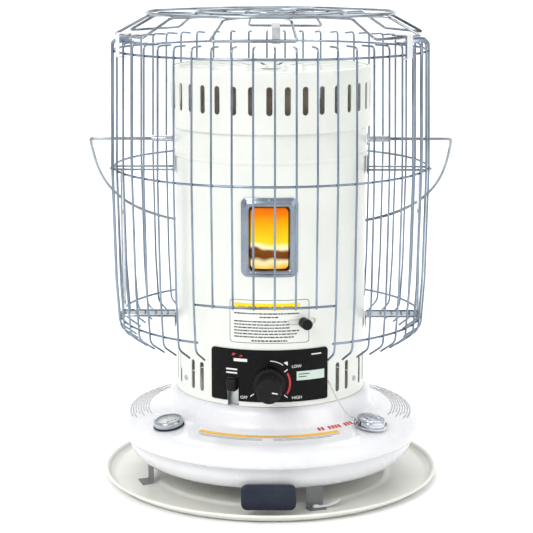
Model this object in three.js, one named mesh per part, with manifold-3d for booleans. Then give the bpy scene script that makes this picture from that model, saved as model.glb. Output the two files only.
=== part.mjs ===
// A round convection kerosene heater standing on its drip tray, in millimetres.
// +Z is up, the control panel faces -Y, and the origin is the centre of the tray's underside.
// A bearing is an angle around the heater in degrees: 0 is the front, 90 the right-hand side (+X).
import * as THREE from "three";
import { mergeVertices } from "three/addons/utils/BufferGeometryUtils.js";
import Module from "manifold-3d";

const wasm = await Module();
wasm.setup();

// Driving dimensions.
const HEIGHT = 650; // floor to the top of the grille
const SHEET = 1.2; // steel sheet of the tank, casing and collar
const GAP = 0.3; // between pieces that rest on each other
const ROUND = 32; // facets of the large round shells
const SMALL_ROUND = 16; // facets of the small ones

const TRAY_RADIUS = 235;
const TRAY_RIM_TOP = 12.3;

const TANK_RADIUS = 200; // lower pan
const TANK_FLOOR = 31.3;
const TANK_SEAM = 70.6; // pan rim, under the cover's skirt
const NECK_TOP = 128.5; // top of the cover's neck, which carries the casing
const LEG_BEARINGS = [20, 110, 200, 290];
const LEG_WIDTH = 24;

const FITTING_RADIUS = 176; // filler and gauge, from the heater's axis
const FITTING_HEIGHT = 96.7; // the cover's surface there
const FITTING_TILT = 9; // the cover's slope there, in degrees
const FILLER_BEARING = 50.8;
const GAUGE_BEARING = -50.8;

const CASING_RADIUS = 131.6;
const CASING_BOTTOM = 129;
const CASING_TOP = 500;
const COLLAR_RADIUS = 137.3;
const COLLAR_BOTTOM = 495;
const COLLAR_TOP = 577;
const COLLAR_SLOTS = 36;

const PANEL_HALF_ANGLE = 36;
const PANEL_LOW = 136;
const PANEL_HIGH = 207.5;
const KNOB_HEIGHT = 162;
const KNOB_RADIUS = 21.7;
const SHUTOFF_BEARING = -21.7;
const BURNER_KNOB_BEARING = 19.4;
const BURNER_KNOB_HEIGHT = 245;

const WINDOW_LOW = 316;
const WINDOW_HIGH = 400;
const WINDOW_HALF_WIDTH = 26.5;

const WIRE = 2.6; // guard wire
const WIRE_STEP = 7.2; // degrees between guard wires
const GUARD_YAW = -1.5;
// Radius and height along one upright of the guard, from its top end to its bottom end.
const UPRIGHT = [
  [192.5, 612],
  [215.5, 612],
  [218.5, 438.7],
  [215.5, 285],
  [211, 218.5],
  [188.5, 203],
];
const UPPER_RING = { height: 597.7, radius: 215.7 };
const MIDDLE_RING = { height: 438.7, radius: 218.5 };
const CONTROL_RING = { height: 282, radius: 215.3 };
const LOWER_RING = { height: 231, radius: 211.9 };
const RING_WIRE = 3;

const GRILLE_WIRE = 4;
const GRILLE_RADII = [34, 102, 169];
const GRILLE_YAW = -5.4;
const GRILLE_FOOT = { radius: 212, height: 620 };

const BAIL_PIVOT_HEIGHT = 475.4;
const BAIL_HALF_WIDTH = 249;
const BAIL_REACH = 272;
const BAIL_WIRE = 4.5;
const BAIL_DROOP = 35.5; // degrees below level, where the bail rests on the rear of the guard

// Colour, roughness and metalness of each finish.
const FINISHES = {
  tankEnamel: [0xf1f3f4, 0.28, 0],
  casingEnamel: [0xe9ece3, 0.35, 0],
  trayEnamel: [0xe9e6d8, 0.35, 0],
  zincSteel: [0xa9adb0, 0.42, 1],
  brightWire: [0xb9c6d4, 0.16, 1],
  chrome: [0xd6dade, 0.08, 1],
  blackPlastic: [0x121314, 0.38, 0],
  navyPlastic: [0x2a2f3b, 0.45, 0],
  glossBlack: [0x08090a, 0.12, 0],
  whiteDial: [0xf4f4ef, 0.5, 0],
  clearGlass: [0xe8f0f0, 0.04, 0],
  mica: [0xf2c98a, 0.2, 0],
  stainless: [0x9b948b, 0.35, 1],
  wickFibre: [0xd8d3c4, 0.95, 0],
  cell: [0x8d7f3a, 0.35, 0.6],
};

const heater = new THREE.Group();
const { degToRad } = THREE.MathUtils;

// ---------- Shapes ----------

// A point at a bearing around the heater.
function around(radius, bearing, height) {
  const angle = degToRad(bearing);
  return new THREE.Vector3(radius * Math.sin(angle), -radius * Math.cos(angle), height);
}

// A closed geometry as a solid that can be joined and cut.
function toSolid(geometry) {
  const bare = geometry.clone();
  bare.deleteAttribute("normal");
  bare.deleteAttribute("uv");
  const merged = mergeVertices(bare, 1e-4);
  const corners = merged.index.array;
  const triangles = [];
  for (let i = 0; i < corners.length; i += 3) {
    const [a, b, c] = [corners[i], corners[i + 1], corners[i + 2]];
    if (a !== b && b !== c && c !== a) triangles.push(a, b, c);
  }
  const build = (triVerts) =>
    new wasm.Manifold(
      new wasm.Mesh({
        numProp: 3,
        vertProperties: merged.attributes.position.array,
        triVerts: new Uint32Array(triVerts),
      }),
    );
  const solid = build(triangles);
  return solid.volume() < 0 ? build(triangles.reverse()) : solid;
}

function toGeometry(solid) {
  const { vertProperties, triVerts } = solid.getMesh();
  const geometry = new THREE.BufferGeometry();
  geometry.setAttribute("position", new THREE.BufferAttribute(vertProperties, 3));
  geometry.setIndex(new THREE.BufferAttribute(triVerts, 1));
  return geometry;
}

function joined(...shapes) {
  return toGeometry(shapes.map(toSolid).reduce((sum, next) => sum.add(next)));
}

function cut(shape, ...holes) {
  return toGeometry(holes.map(toSolid).reduce((rest, hole) => rest.subtract(hole), toSolid(shape)));
}

function piece(name, shape, finish, parent = heater) {
  const [color, roughness, metalness] = FINISHES[finish];
  const mesh = new THREE.Mesh(
    toGeometry(toSolid(shape)),
    new THREE.MeshStandardMaterial({ color, roughness, metalness }),
  );
  mesh.name = name;
  mesh.geometry.computeVertexNormals();
  parent.add(mesh);
  return mesh;
}

// A closed outline of [radius, height] points turned about the Z axis.
function turned(outline, facets = ROUND) {
  const closed = [...outline, outline[0]].map(([radius, height]) => new THREE.Vector2(radius, height));
  return new THREE.LatheGeometry(closed, facets).rotateX(Math.PI / 2);
}

// The outline of a strip that follows a line of points, mitred at its bends.
function stripOutline(line, thickness) {
  const left = [];
  const right = [];
  line.forEach(([x, y], i) => {
    const [previousX, previousY] = line[Math.max(i - 1, 0)];
    const [nextX, nextY] = line[Math.min(i + 1, line.length - 1)];
    const into = new THREE.Vector2(x - previousX, y - previousY).normalize();
    const out = new THREE.Vector2(nextX - x, nextY - y).normalize();
    const along = i === 0 ? out : into;
    const normal = new THREE.Vector2(-(into.y + out.y), into.x + out.x).normalize();
    const reach = thickness / 2 / (normal.y * along.x - normal.x * along.y);
    left.push([x + normal.x * reach, y + normal.y * reach]);
    right.unshift([x - normal.x * reach, y - normal.y * reach]);
  });
  return [...left, ...right];
}

// A round shell of sheet whose section follows a line of [radius, height] points.
function shell(line, thickness = SHEET, facets = ROUND) {
  return turned(stripOutline(line, thickness), facets);
}

// A bent strip whose section follows [radius, height] points, facing outwards at a bearing.
function strip(line, thickness, width, bearing) {
  const outline = stripOutline(line, thickness).map(([x, y]) => new THREE.Vector2(x, y));
  return new THREE.ExtrudeGeometry(new THREE.Shape(outline), { depth: width, bevelEnabled: false })
    .translate(0, 0, -width / 2)
    .rotateX(Math.PI / 2)
    .rotateZ(degToRad(bearing - 90));
}

// A part of a round wall between two bearings.
function wall(innerRadius, outerRadius, fromBearing, toBearing, low, high, curveSegments = 6) {
  const [start, end] = [degToRad(fromBearing - 90), degToRad(toBearing - 90)];
  const shape = new THREE.Shape();
  shape.absarc(0, 0, outerRadius, start, end, false);
  shape.absarc(0, 0, innerRadius, end, start, true);
  const options = { depth: high - low, bevelEnabled: false, curveSegments };
  return new THREE.ExtrudeGeometry(shape, options).translate(
    0,
    0,
    low,
  );
}

function block([x0, x1], [y0, y1], [z0, z1]) {
  return new THREE.BoxGeometry(x1 - x0, y1 - y0, z1 - z0).translate(
    (x0 + x1) / 2,
    (y0 + y1) / 2,
    (z0 + z1) / 2,
  );
}

// A block that faces outwards at a bearing.
function radialBlock(width, [innerRadius, outerRadius], heights, bearing) {
  return block([-width / 2, width / 2], [-outerRadius, -innerRadius], heights).rotateZ(degToRad(bearing));
}

// A round bar between two points.
function bar(from, to, radius, facets = 12) {
  const [a, b] = [new THREE.Vector3(...from), new THREE.Vector3(...to)];
  const length = a.distanceTo(b);
  const turn = new THREE.Quaternion().setFromUnitVectors(
    new THREE.Vector3(0, 1, 0),
    b.clone().sub(a).normalize(),
  );
  const middle = a.add(b).multiplyScalar(0.5);
  return new THREE.CylinderGeometry(radius, radius, length, facets)
    .applyQuaternion(turn)
    .translate(...middle.toArray());
}

// A curve of straight stretches between points, read one point to a step.
class Route extends THREE.Curve {
  constructor(points) {
    super();
    this.points = points;
  }

  corner(u) {
    return Math.round(u * (this.points.length - 1));
  }

  getPointAt(u, target = new THREE.Vector3()) {
    return target.copy(this.points[this.corner(u)]);
  }

  getTangentAt(u, target = new THREE.Vector3()) {
    const i = this.corner(u);
    const before = this.points[Math.max(i - 1, 0)];
    const after = this.points[Math.min(i + 1, this.points.length - 1)];
    return target.subVectors(after, before).normalize();
  }
}

// A round wire through points.
function wire(points, diameter, sides = 8) {
  const section = new THREE.Shape();
  for (let i = 0; i < sides; i++) {
    const angle = (i * 2 * Math.PI) / sides;
    const [x, y] = [(Math.cos(angle) * diameter) / 2, (Math.sin(angle) * diameter) / 2];
    if (i === 0) section.moveTo(x, y);
    else section.lineTo(x, y);
  }
  return new THREE.ExtrudeGeometry(section, {
    steps: points.length - 1,
    extrudePath: new Route(points),
    bevelEnabled: false,
  });
}

// ---------- Drip tray ----------

function dripTray() {
  const outline = [
    [0, 3],
    [164, 3],
    [170, 0],
    [222, 0],
    [228.6, 5],
    [231, 8.6],
    [TRAY_RADIUS, 8.6],
    [TRAY_RADIUS, TRAY_RIM_TOP],
    [230, TRAY_RIM_TOP],
    [227, 6.2],
    [221.4, SHEET],
    [170.4, SHEET],
    [164.3, 3 + SHEET],
    [0, 3 + SHEET],
  ];
  piece("drip_tray", turned(outline), "trayEnamel");

  // A wing lever turns on the front right leg's foot and locks the tray to the tank.
  const [low, thickness] = [3.3, 2];
  const lever = block([-4.8, 33], [-188, -180], [low, low + thickness]);
  const head = bar([0, -184, low + thickness - GAP], [0, -184, low + thickness + 2], 4.5);
  piece("tray_latch", joined(lever, head).rotateZ(degToRad(LEG_BEARINGS[0])), "zincSteel");
}

// ---------- Tank ----------

// Four bent legs are welded under the pan.
function tankLegs() {
  const section = [
    [165, TANK_FLOOR - 0.5],
    [176.75, TANK_FLOOR - 0.5],
    [176.75, 2.25],
    [192, 2.25],
  ];
  return LEG_BEARINGS.map((bearing) => strip(section, 1.5, LEG_WIDTH, bearing));
}

function tank() {
  const floor = TANK_FLOOR + SHEET / 2;
  const side = TANK_RADIUS - SHEET / 2;
  const pan = [
    [36, floor],
    [178, floor],
    [185.7, floor + 1.4],
    [193.5, floor + 6.8],
    [side, floor + 21],
    [side, TANK_SEAM - GAP * 2],
  ];
  // The tank's inner wall is a tube that draws air up through the middle.
  const draftTube = turned([
    [35.5, TANK_FLOOR],
    [36.7, TANK_FLOOR],
    [36.7, 180],
    [35.5, 180],
  ]);
  piece("tank_pan", joined(shell(pan), draftTube, ...tankLegs()), "tankEnamel");

  const cover = [
    [46, NECK_TOP - 0.6],
    [132.8, NECK_TOP - 0.6],
    [139.5, 123.5],
    [147.4, 101.8],
    [157.8, 98.8],
    [195.9, 92.8],
    [207.5, 86.9],
    [213, 77.8],
    [211.5, 70.9],
    [201.8, 70.9],
  ];
  const holeAt = (bearing, radius, facets) =>
    bar(around(FITTING_RADIUS, bearing, 80), around(FITTING_RADIUS, bearing, 110), radius, facets);
  const fillerHole = holeAt(FILLER_BEARING, 16.8, 20);
  const gaugeHole = holeAt(GAUGE_BEARING, 9.8, 14);
  piece("tank_cover", cut(shell(cover), fillerHole, gaugeHole), "tankEnamel");
}

// A group whose +Z stands square on the cover's slope, where the filler and the gauge sit.
function coverSeat(bearing) {
  const seat = new THREE.Group();
  seat.position.copy(around(FITTING_RADIUS, bearing, FITTING_HEIGHT));
  seat.rotation.set(degToRad(FITTING_TILT), 0, degToRad(bearing), "ZYX");
  heater.add(seat);
  return seat;
}

// ---------- Filler ----------

// The chain ring's lug stands on the side of the cap towards the control panel.
const CAP = { radius: 21.5, low: 2.4, high: 14, boreRadius: 17.5, lobes: 6, lugTurn: 77 };

function filler() {
  const seat = coverSeat(FILLER_BEARING);
  const neck = [
    [13.5, -22],
    [15.2, -22],
    [15.2, 0.7],
    [18.5, 0.7],
    [18.5, 1.9],
    [15.2, 1.9],
    [15.2, 9],
    [13.5, 9],
  ];
  piece("filler_neck", turned(neck, SMALL_ROUND), "zincSteel", seat);

  const rim = new THREE.Shape();
  const points = CAP.lobes * 4;
  for (let i = 0; i < points; i++) {
    const angle = (i * 2 * Math.PI) / points;
    const radius = CAP.radius - 1 + Math.cos(CAP.lobes * angle);
    if (i === 0) rim.moveTo(radius, 0);
    else rim.lineTo(radius * Math.cos(angle), radius * Math.sin(angle));
  }
  const body = new THREE.ExtrudeGeometry(rim, { depth: CAP.high - CAP.low, bevelEnabled: false });
  const bore = bar([0, 0, CAP.low - 1], [0, 0, CAP.high - 2], CAP.boreRadius, SMALL_ROUND);
  piece("fuel_cap", cut(body.translate(0, 0, CAP.low), bore), "chrome", seat);

  // A loose ring around the cap, with a lug for the chain.
  const ring = turned([
    [22.1, CAP.low],
    [23.3, CAP.low],
    [23.3, CAP.low + 3],
    [22.1, CAP.low + 3],
  ], SMALL_ROUND);
  const lug = block([-1.5, 1.5], [22.6, 24.4], [CAP.low + 0.5, CAP.high - 2]).rotateZ(degToRad(CAP.lugTurn));
  piece("chain_ring", joined(ring, lug), "chrome", seat);
}

// The fine chain hangs from beside the control panel to the lug.
const CHAIN_DIAMETER = 2;
const CHAIN_ROUTE = [
  [79.2, -107.2, 160],
  [83.4, -110.0, 151],
  [87.8, -112.7, 142.4],
  [92.3, -115.4, 134.3],
  [97.2, -118.0, 126.8],
  [102.5, -120.5, 120.1],
  [108.4, -122.8, 114.9],
  [117.4, -126.0, 111.2],
];

function capChain() {
  const curve = new THREE.CatmullRomCurve3(CHAIN_ROUTE.map((point) => new THREE.Vector3(...point)));
  piece("cap_chain", wire(curve.getSpacedPoints(14), CHAIN_DIAMETER), "chrome");
}

// ---------- Fuel gauge ----------

function fuelGauge() {
  const seat = coverSeat(GAUGE_BEARING);
  const gasket = [
    [10, 0.8],
    [21.3, 0.8],
    [21.3, 2],
    [10, 2],
  ];
  piece("gauge_gasket", turned(gasket, SMALL_ROUND), "blackPlastic", seat);
  // The bezel's cup runs down into a stem that reaches into the tank.
  const bezel = [
    [8.5, -36],
    [8.5, 2.3],
    [20.5, 2.3],
    [20.5, 8.5],
    [18.8, 11],
    [16.2, 11],
    [16.2, 9.9],
    [18.9, 8.6],
    [18.9, 3.5],
    [7.3, 3.5],
    [7.3, -36],
  ];
  piece("gauge_bezel", turned(bezel, SMALL_ROUND), "chrome", seat);
  const dial = [
    [1.2, 4.2],
    [18.4, 4.2],
    [18.4, 5],
    [1.2, 5],
  ];
  piece("gauge_dial", turned(dial, SMALL_ROUND), "whiteDial", seat);
  const needle = joined(bar([0, 0, 4.4], [0, 0, 6.4], 0.8, 8), block([-0.8, 0.8], [-3, 13], [5.4, 6]));
  piece("gauge_needle", needle, "blackPlastic", seat);
  const lens = [
    [0, 9.9],
    [9, 9.2],
    [15, 7.6],
    [17.2, 7],
    [18.5, 7],
    [18.5, 8],
    [15.6, 8.8],
    [9, 10.2],
    [0, 10.9],
  ];
  piece("gauge_lens", turned(lens, SMALL_ROUND), "clearGlass", seat);

  // The float swings on an arm below the stem.
  const pivot = around(170, GAUGE_BEARING, 56);
  const end = around(168, GAUGE_BEARING - 15.2, 56);
  const arm = bar(pivot.toArray(), end.toArray(), 1.5, 8);
  const low = end.clone().setZ(54);
  const high = end.clone().setZ(65);
  piece("gauge_float", joined(arm, bar(low.toArray(), high.toArray(), 9, 14)), "blackPlastic");
}

// ---------- Ignition lever ----------

const IGNITION_PIVOT = { y: -120, z: 20 };
const PAD = { width: 72, low: 12, high: 45, back: -203, front: -215, corner: 6 };

function roundedPlate(width, low, high, corner) {
  const half = width / 2;
  const shape = new THREE.Shape();
  shape.absarc(half - corner, low + corner, corner, -Math.PI / 2, 0);
  shape.absarc(half - corner, high - corner, corner, 0, Math.PI / 2);
  shape.absarc(corner - half, high - corner, corner, Math.PI / 2, Math.PI);
  shape.absarc(corner - half, low + corner, corner, Math.PI, 1.5 * Math.PI);
  return shape;
}

function ignitionLever() {
  const { y, z } = IGNITION_PIVOT;
  const shape = roundedPlate(PAD.width, PAD.low, PAD.high, PAD.corner);
  const options = { depth: PAD.back - PAD.front, bevelEnabled: false, curveSegments: 2 };
  const pad = new THREE.ExtrudeGeometry(shape, options)
    .rotateX(Math.PI / 2)
    .translate(0, PAD.back, 0);
  piece("ignition_pad", pad, "navyPlastic");

  const plate = joined(
    block([-10, 10], [PAD.back + 2, y - 3], [z - 3, z]),
    block([-22, 22], [PAD.back + GAP, PAD.back + 2.3], [z - 3, 40]),
    bar([-11.5, y, z], [11.5, y, z], 5),
  );
  piece("ignition_arm", cut(plate, bar([-12, y, z], [12, y, z], 2.5)), "zincSteel");

  const ears = [-13.7, 12.2].map((x) => block([x, x + 1.5], [y - 8, y + 8], [z - 6, TANK_FLOOR - GAP]));
  const saddle = block([-13.7, 13.7], [y - 8, y + 8], [TANK_FLOOR - 1.8, TANK_FLOOR - GAP]);
  piece("ignition_bracket", joined(...ears, saddle, bar([-14.4, y, z], [14.4, y, z], 2)), "zincSteel");
}

// ---------- Casing ----------

function casing() {
  const middle = CASING_RADIUS - SHEET / 2;
  const bead = middle + 1.8;
  const side = [
    [middle, CASING_BOTTOM],
    [middle, 454.5],
    [bead, 458.2],
    [middle, 462],
    [middle, CASING_TOP],
  ];
  const through = [120, 140];
  const holes = [
    radialBlock(60, through, [WINDOW_LOW - 4, WINDOW_HIGH + 4], 0),
    radialBlock(16.4, through, [CASING_BOTTOM + 2, 168.3], SHUTOFF_BEARING),
    radialBlock(39, through, [BURNER_KNOB_HEIGHT - 4, BURNER_KNOB_HEIGHT + 4], BURNER_KNOB_BEARING),
    bar([0, -120, KNOB_HEIGHT], [0, -140, KNOB_HEIGHT], 5, 8),
  ];
  // Air slots all the way round below, apart from the places of the casing's screws.
  const screwPlaces = [2, 9];
  for (let i = 0; i < 16; i++) {
    if (screwPlaces.includes(i)) continue;
    for (const side of [-1, 1]) holes.push(radialBlock(8, through, [140.9, 181.8], side * (44.5 + 8.3 * i)));
  }
  piece("casing", cut(shell(side), ...holes), "casingEnamel");
}

function collar() {
  const middle = COLLAR_RADIUS - SHEET / 2;
  const side = [
    [132.3, COLLAR_BOTTOM + SHEET / 2],
    [middle, COLLAR_BOTTOM + SHEET / 2],
    [middle, COLLAR_TOP - 2.5],
    [133.5, COLLAR_TOP - 0.6],
  ];
  // Each slot lies in the middle of one facet.
  const slotStep = 360 / COLLAR_SLOTS;
  const body = shell(side, SHEET, COLLAR_SLOTS).rotateZ(degToRad(slotStep / 2));
  const holes = [];
  for (let i = 0; i < COLLAR_SLOTS; i++)
    holes.push(radialBlock(8.1, [130, 145], [520.2, 557.6], i * slotStep));
  piece("casing_collar", cut(body, ...holes), "casingEnamel");

  const plate = turned([
    [14, 570],
    [132.5, 570],
    [132.5, 570 + SHEET],
    [14, 570 + SHEET],
  ]);
  const louvres = [];
  for (let i = 0; i < 12; i++) louvres.push(radialBlock(7, [70, 122], [565, 575], i * 30 + 15));
  piece("top_plate", cut(plate, ...louvres), "casingEnamel");
}

function window() {
  const middle = (WINDOW_LOW + WINDOW_HIGH) / 2;
  const half = (WINDOW_HIGH - WINDOW_LOW) / 2;
  const frame = wall(131.9, 136, -16.2, 16.2, middle - half - 10, middle + half + 13.7);
  const opening = block([-WINDOW_HALF_WIDTH, WINDOW_HALF_WIDTH], [-140, -120], [WINDOW_LOW, WINDOW_HIGH]);
  piece("window_frame", cut(frame, opening), "chrome");
  piece("window_mica", wall(128.3, 129.1, -14, 14, WINDOW_LOW - 5, WINDOW_HIGH + 5, 4), "mica");
}

// ---------- Controls ----------

function controls() {
  const panel = wall(131.9, 133.2, -PANEL_HALF_ANGLE, PANEL_HALF_ANGLE, PANEL_LOW, PANEL_HIGH, 10);
  const slot = radialBlock(16.4, [120, 140], [PANEL_LOW - 4, 168.3], SHUTOFF_BEARING);
  const hole = bar([0, -120, KNOB_HEIGHT], [0, -140, KNOB_HEIGHT], 5, 8);
  piece("control_panel", cut(panel, slot, hole), "glossBlack");

  const knob = turned([
    [3.4, 0],
    [KNOB_RADIUS, 0],
    [KNOB_RADIUS, 5],
    [17.6, 8.5],
    [16.9, 30],
    [16.6, 43],
    [15, 45],
    [0, 45],
    [0, 8],
    [3.4, 8],
  ], SMALL_ROUND)
    .rotateX(Math.PI / 2)
    .translate(0, -134.6, KNOB_HEIGHT);
  piece("wick_knob", knob, "blackPlastic");

  // The knob's shaft ends in a pinion that meets the wick.
  const shaft = joined(
    bar([0, -142, KNOB_HEIGHT], [0, -47, KNOB_HEIGHT], 3, 10),
    bar([0, -52, KNOB_HEIGHT], [0, -43.2, KNOB_HEIGHT], 6, 12),
  );
  piece("wick_shaft", shaft, "zincSteel");

  const lever = joined(
    radialBlock(14, [130.2, 142], [150, 167], SHUTOFF_BEARING),
    radialBlock(7, [126.4, 131], [154, 163], SHUTOFF_BEARING),
  );
  piece("shutoff_lever", lever, "blackPlastic");
  const bracket = [
    [108, NECK_TOP + 0.9],
    [124.4, NECK_TOP + 0.9],
    [124.4, 174],
  ];
  piece("shutoff_bracket", strip(bracket, SHEET, 26, SHUTOFF_BEARING), "zincSteel");

  const outwards = (radius) => around(radius, BURNER_KNOB_BEARING, BURNER_KNOB_HEIGHT).toArray();
  const grip = bar(outwards(136), outwards(154), 7.3, 16);
  const pinHole = bar(outwards(135), outwards(146), 2.9, 10);
  piece("burner_knob", cut(grip, pinHole), "blackPlastic");
}

// ---------- Burner ----------

function burner() {
  piece("wick", shell([[40.25, 50], [40.25, 184]], 3.5, SMALL_ROUND), "wickFibre");

  const housing = shell([[44.8, 60], [44.8, 170.6], [62, 170.6]], 1, SMALL_ROUND);
  const pinionSlot = block([-8, 8], [-50, -40], [153, 169.4]);
  piece("wick_housing", cut(housing, pinionSlot), "zincSteel");

  const outer = shell([[58.5, 171.6], [58.5, 300], [65, 300]], 1, SMALL_ROUND);
  const igniterNotch = radialBlock(24, [54, 64], [170, 181], IGNITER_BEARING);
  // A pin on the outer tube carries the burner knob outside the casing.
  const outwards = (radius) => around(radius, BURNER_KNOB_BEARING, BURNER_KNOB_HEIGHT).toArray();
  const pin = bar(outwards(58), outwards(145), 2.4, 10);
  piece("burner_outer", joined(cut(outer, igniterNotch), pin), "stainless");

  // A flame spreader closes the inner tube.
  const inner = shell([[36, 184], [30.5, 187], [30.5, 306]], 1, SMALL_ROUND);
  const spreader = turned([
    [0, 305.5],
    [30.6, 305.5],
    [30.6, 307],
    [6, 307],
    [6, 320],
    [50, 320],
    [46, 328],
    [30, 333],
    [0, 335],
  ], SMALL_ROUND);
  piece("burner_inner", joined(inner, spreader), "stainless");
  piece("glass_cylinder", shell([[63, 300.9], [63, 420]], 2, SMALL_ROUND), "clearGlass");
  piece("chimney", shell([[62.6, 420.6], [62.6, 558]], SHEET, SMALL_ROUND), "stainless");
}

const IGNITER_BEARING = -110;

function igniter() {
  const outwards = (radius, height) => around(radius, IGNITER_BEARING, height).toArray();
  const rod = bar(outwards(51, 176), outwards(80, 176), 2, 8);
  const holder = radialBlock(13, [78, 104], [169, 183], IGNITER_BEARING);
  piece("igniter", joined(rod, holder), "zincSteel");
}

// A weight on a pivot shuts the wick down when the heater is knocked.
function tipSwitch() {
  const [x, y] = [-70, 60];
  const arch = [
    [-22, NECK_TOP + 0.9],
    [-16.6, NECK_TOP + 0.9],
    [-16.6, 173.3],
    [16.6, 173.3],
    [16.6, NECK_TOP + 0.9],
    [22, NECK_TOP + 0.9],
  ];
  piece("tip_bracket", strip(arch, SHEET, 14, 90).translate(x, y, 0), "zincSteel");
  const weight = turned([
    [0, 172.2],
    [1.5, 172.2],
    [1.5, 158],
    [11, 158],
    [11, 137],
    [0, 137],
  ], 14);
  piece("tip_weight", weight.translate(x, y, 0), "zincSteel");
}

// ---------- Battery case ----------

const CASE = { half: 58, front: 201.6, back: 231.4, low: 24, high: 64 };

function batteryCase() {
  const { half, front, back, low, high } = CASE;
  const box = block([-half, half], [front, back], [low, high]);
  const hollow = block([-half + 1.4, half - 1.4], [front + 1.4, back + 1], [low + 1.4, high - 1.4]);
  const divider = block([-0.6, 0.6], [front + 1, back - 2], [low + 1, high - 1]);
  piece("battery_case", joined(cut(box, hollow), divider), "blackPlastic");

  const lid = block([-half + 1, half - 1], [back + 0.3, back + 2.1], [low + 3, high - 1]);
  piece("battery_cover", lid, "blackPlastic");

  const [y, z] = [217, 44];
  for (const [side, name] of [[-1, "cell_left"], [1, "cell_right"]]) {
    const body = bar([side * 3, y, z], [side * 53, y, z], 13.1, 16);
    const nub = bar([side * 52, y, z], [side * 54.5, y, z], 3.5, 8);
    piece(name, joined(body, nub), "cell");
  }
}

// ---------- Guard ----------

// Bearings of the guard's uprights on one side, from the front. The place at 90 is left open for the bail.
function uprightBearing(index) {
  return WIRE_STEP / 2 + WIRE_STEP * index;
}

function ringPart({ height, radius }, fromBearing, toBearing) {
  const segments = Math.max(1, Math.round((toBearing - fromBearing) / WIRE_STEP / 2));
  const [inner, outer] = [radius - WIRE / 2 - RING_WIRE + 0.9, radius - WIRE / 2 + 0.9];
  return wall(inner, outer, fromBearing, toBearing, height - RING_WIRE / 2, height + RING_WIRE / 2, segments);
}

function guardPart(name, bearings, rings, line = UPRIGHT) {
  const uprights = bearings.map((bearing) => strip(line, WIRE, WIRE, bearing));
  const arcs = rings.map(([ring, from, to]) => ringPart(ring, from, to));
  piece(name, joined(...arcs, ...uprights).rotateZ(degToRad(GUARD_YAW)), "brightWire");
}

function guard() {
  const seam = 0.1; // half the gap between neighbouring parts, in degrees
  const edge = WIRE_STEP * 3; // the front part ends half a step before the first full upright

  // Above the controls the uprights stop at a raised ring.
  const front = [-2.5, -1.5, -0.5, 0.5, 1.5, 2.5].map((step) => step * WIRE_STEP);
  const shortLine = [...UPRIGHT.slice(0, 3), [CONTROL_RING.radius, CONTROL_RING.height - 2]];
  const frontRings = [UPPER_RING, MIDDLE_RING, CONTROL_RING].map((ring) => [ring, -edge + seam, edge - seam]);
  guardPart("guard_front", front, frontRings, shortLine);

  for (const [side, label] of [[1, "right"], [-1, "left"]]) {
    const mirrored = (ring, from, to) => (side > 0 ? [ring, from, to] : [ring, -to, -from]);
    const bearings = (first, last) =>
      Array.from({ length: last - first + 1 }, (_, i) => side * uprightBearing(first + i));
    const cornerBearing = uprightBearing(3);
    guardPart(`guard_side_${label}`, bearings(3, 11), [
      mirrored(UPPER_RING, edge + seam, 90 - seam),
      mirrored(MIDDLE_RING, edge + seam, 90 - seam),
      mirrored(CONTROL_RING, edge + seam, cornerBearing),
      mirrored(LOWER_RING, cornerBearing, 90 - seam),
    ]);
    const rear = [UPPER_RING, MIDDLE_RING, LOWER_RING];
    const split = uprightBearing(18.5);
    const sideRings = rear.map((ring) => mirrored(ring, 90 + seam, split - seam));
    guardPart(`guard_rear_side_${label}`, bearings(13, 18), sideRings);
    const backRings = rear.map((ring) => mirrored(ring, split + seam, 180 - seam));
    guardPart(`guard_rear_${label}`, bearings(19, 24), backRings);
  }
}

// ---------- Top grille ----------

function topGrille() {
  const middle = HEIGHT - GRILLE_WIRE / 2;
  const half = GRILLE_WIRE / 2;
  const rings = GRILLE_RADII.map((radius) =>
    turned([
      [radius - half, middle - half],
      [radius + half, middle - half],
      [radius + half, middle + half],
      [radius - half, middle + half],
    ], 24),
  );
  const { radius: footRadius, height: footHeight } = GRILLE_FOOT;
  const spoke = [
    [GRILLE_RADII[0], middle],
    [GRILLE_RADII[2], middle],
    [footRadius, footHeight],
  ];
  const parts = [...rings];
  for (let i = 0; i < 6; i++) {
    const loop = GRILLE_YAW + 60 * i;
    parts.push(strip(spoke, GRILLE_WIRE - 0.4, GRILLE_WIRE - 0.4, loop - 15));
    parts.push(strip(spoke, GRILLE_WIRE - 0.4, GRILLE_WIRE - 0.4, loop + 15));
    const ends = [-15, 15].map((turn) => around(footRadius, loop + turn, footHeight).toArray());
    parts.push(bar(...ends, GRILLE_WIRE / 2, 4));
  }
  piece("top_grille", joined(...parts), "chrome");

  // Sheet clips hook the grille's foot bars to the upper ring.
  const clip = [
    [200.7, 616],
    [200.7, 623.9],
    [218.6, 623.9],
    [218.6, 592.7],
    [209, 592.7],
  ];
  for (const [name, bearing] of [["left", -64.8], ["right", 57.6], ["rear", 180]])
    piece(`top_clip_${name}`, strip(clip, 1.3, 13, bearing + GUARD_YAW), "zincSteel");
}

// ---------- Side frames ----------

function sideFrame(side, label) {
  const bearing = side * 90;
  const armLine = [
    [133.1, 214],
    [133.1, 228.3],
    [206, 228.3],
  ];
  const post = radialBlock(38, [204.5, 206], [228, 432.5], bearing);
  piece(`side_arm_${label}`, joined(strip(armLine, 1.5, 41, bearing), post), "zincSteel");

  const height = 434.6;
  const points = [
    [133, -18],
    [214, -18],
    [219.5, -13],
    [221.3, -6],
    [221.3, 6],
    [219.5, 13],
    [214, 18],
    [133, 18],
  ].map(([x, y]) => new THREE.Vector3(side * x, y, height));
  const bracket = radialBlock(44, [132.3, 134], [430, 454], bearing);
  piece(`upper_stay_${label}`, joined(wire(points, 3, 6), bracket), "chrome");
}

// ---------- Bail handle ----------

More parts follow.
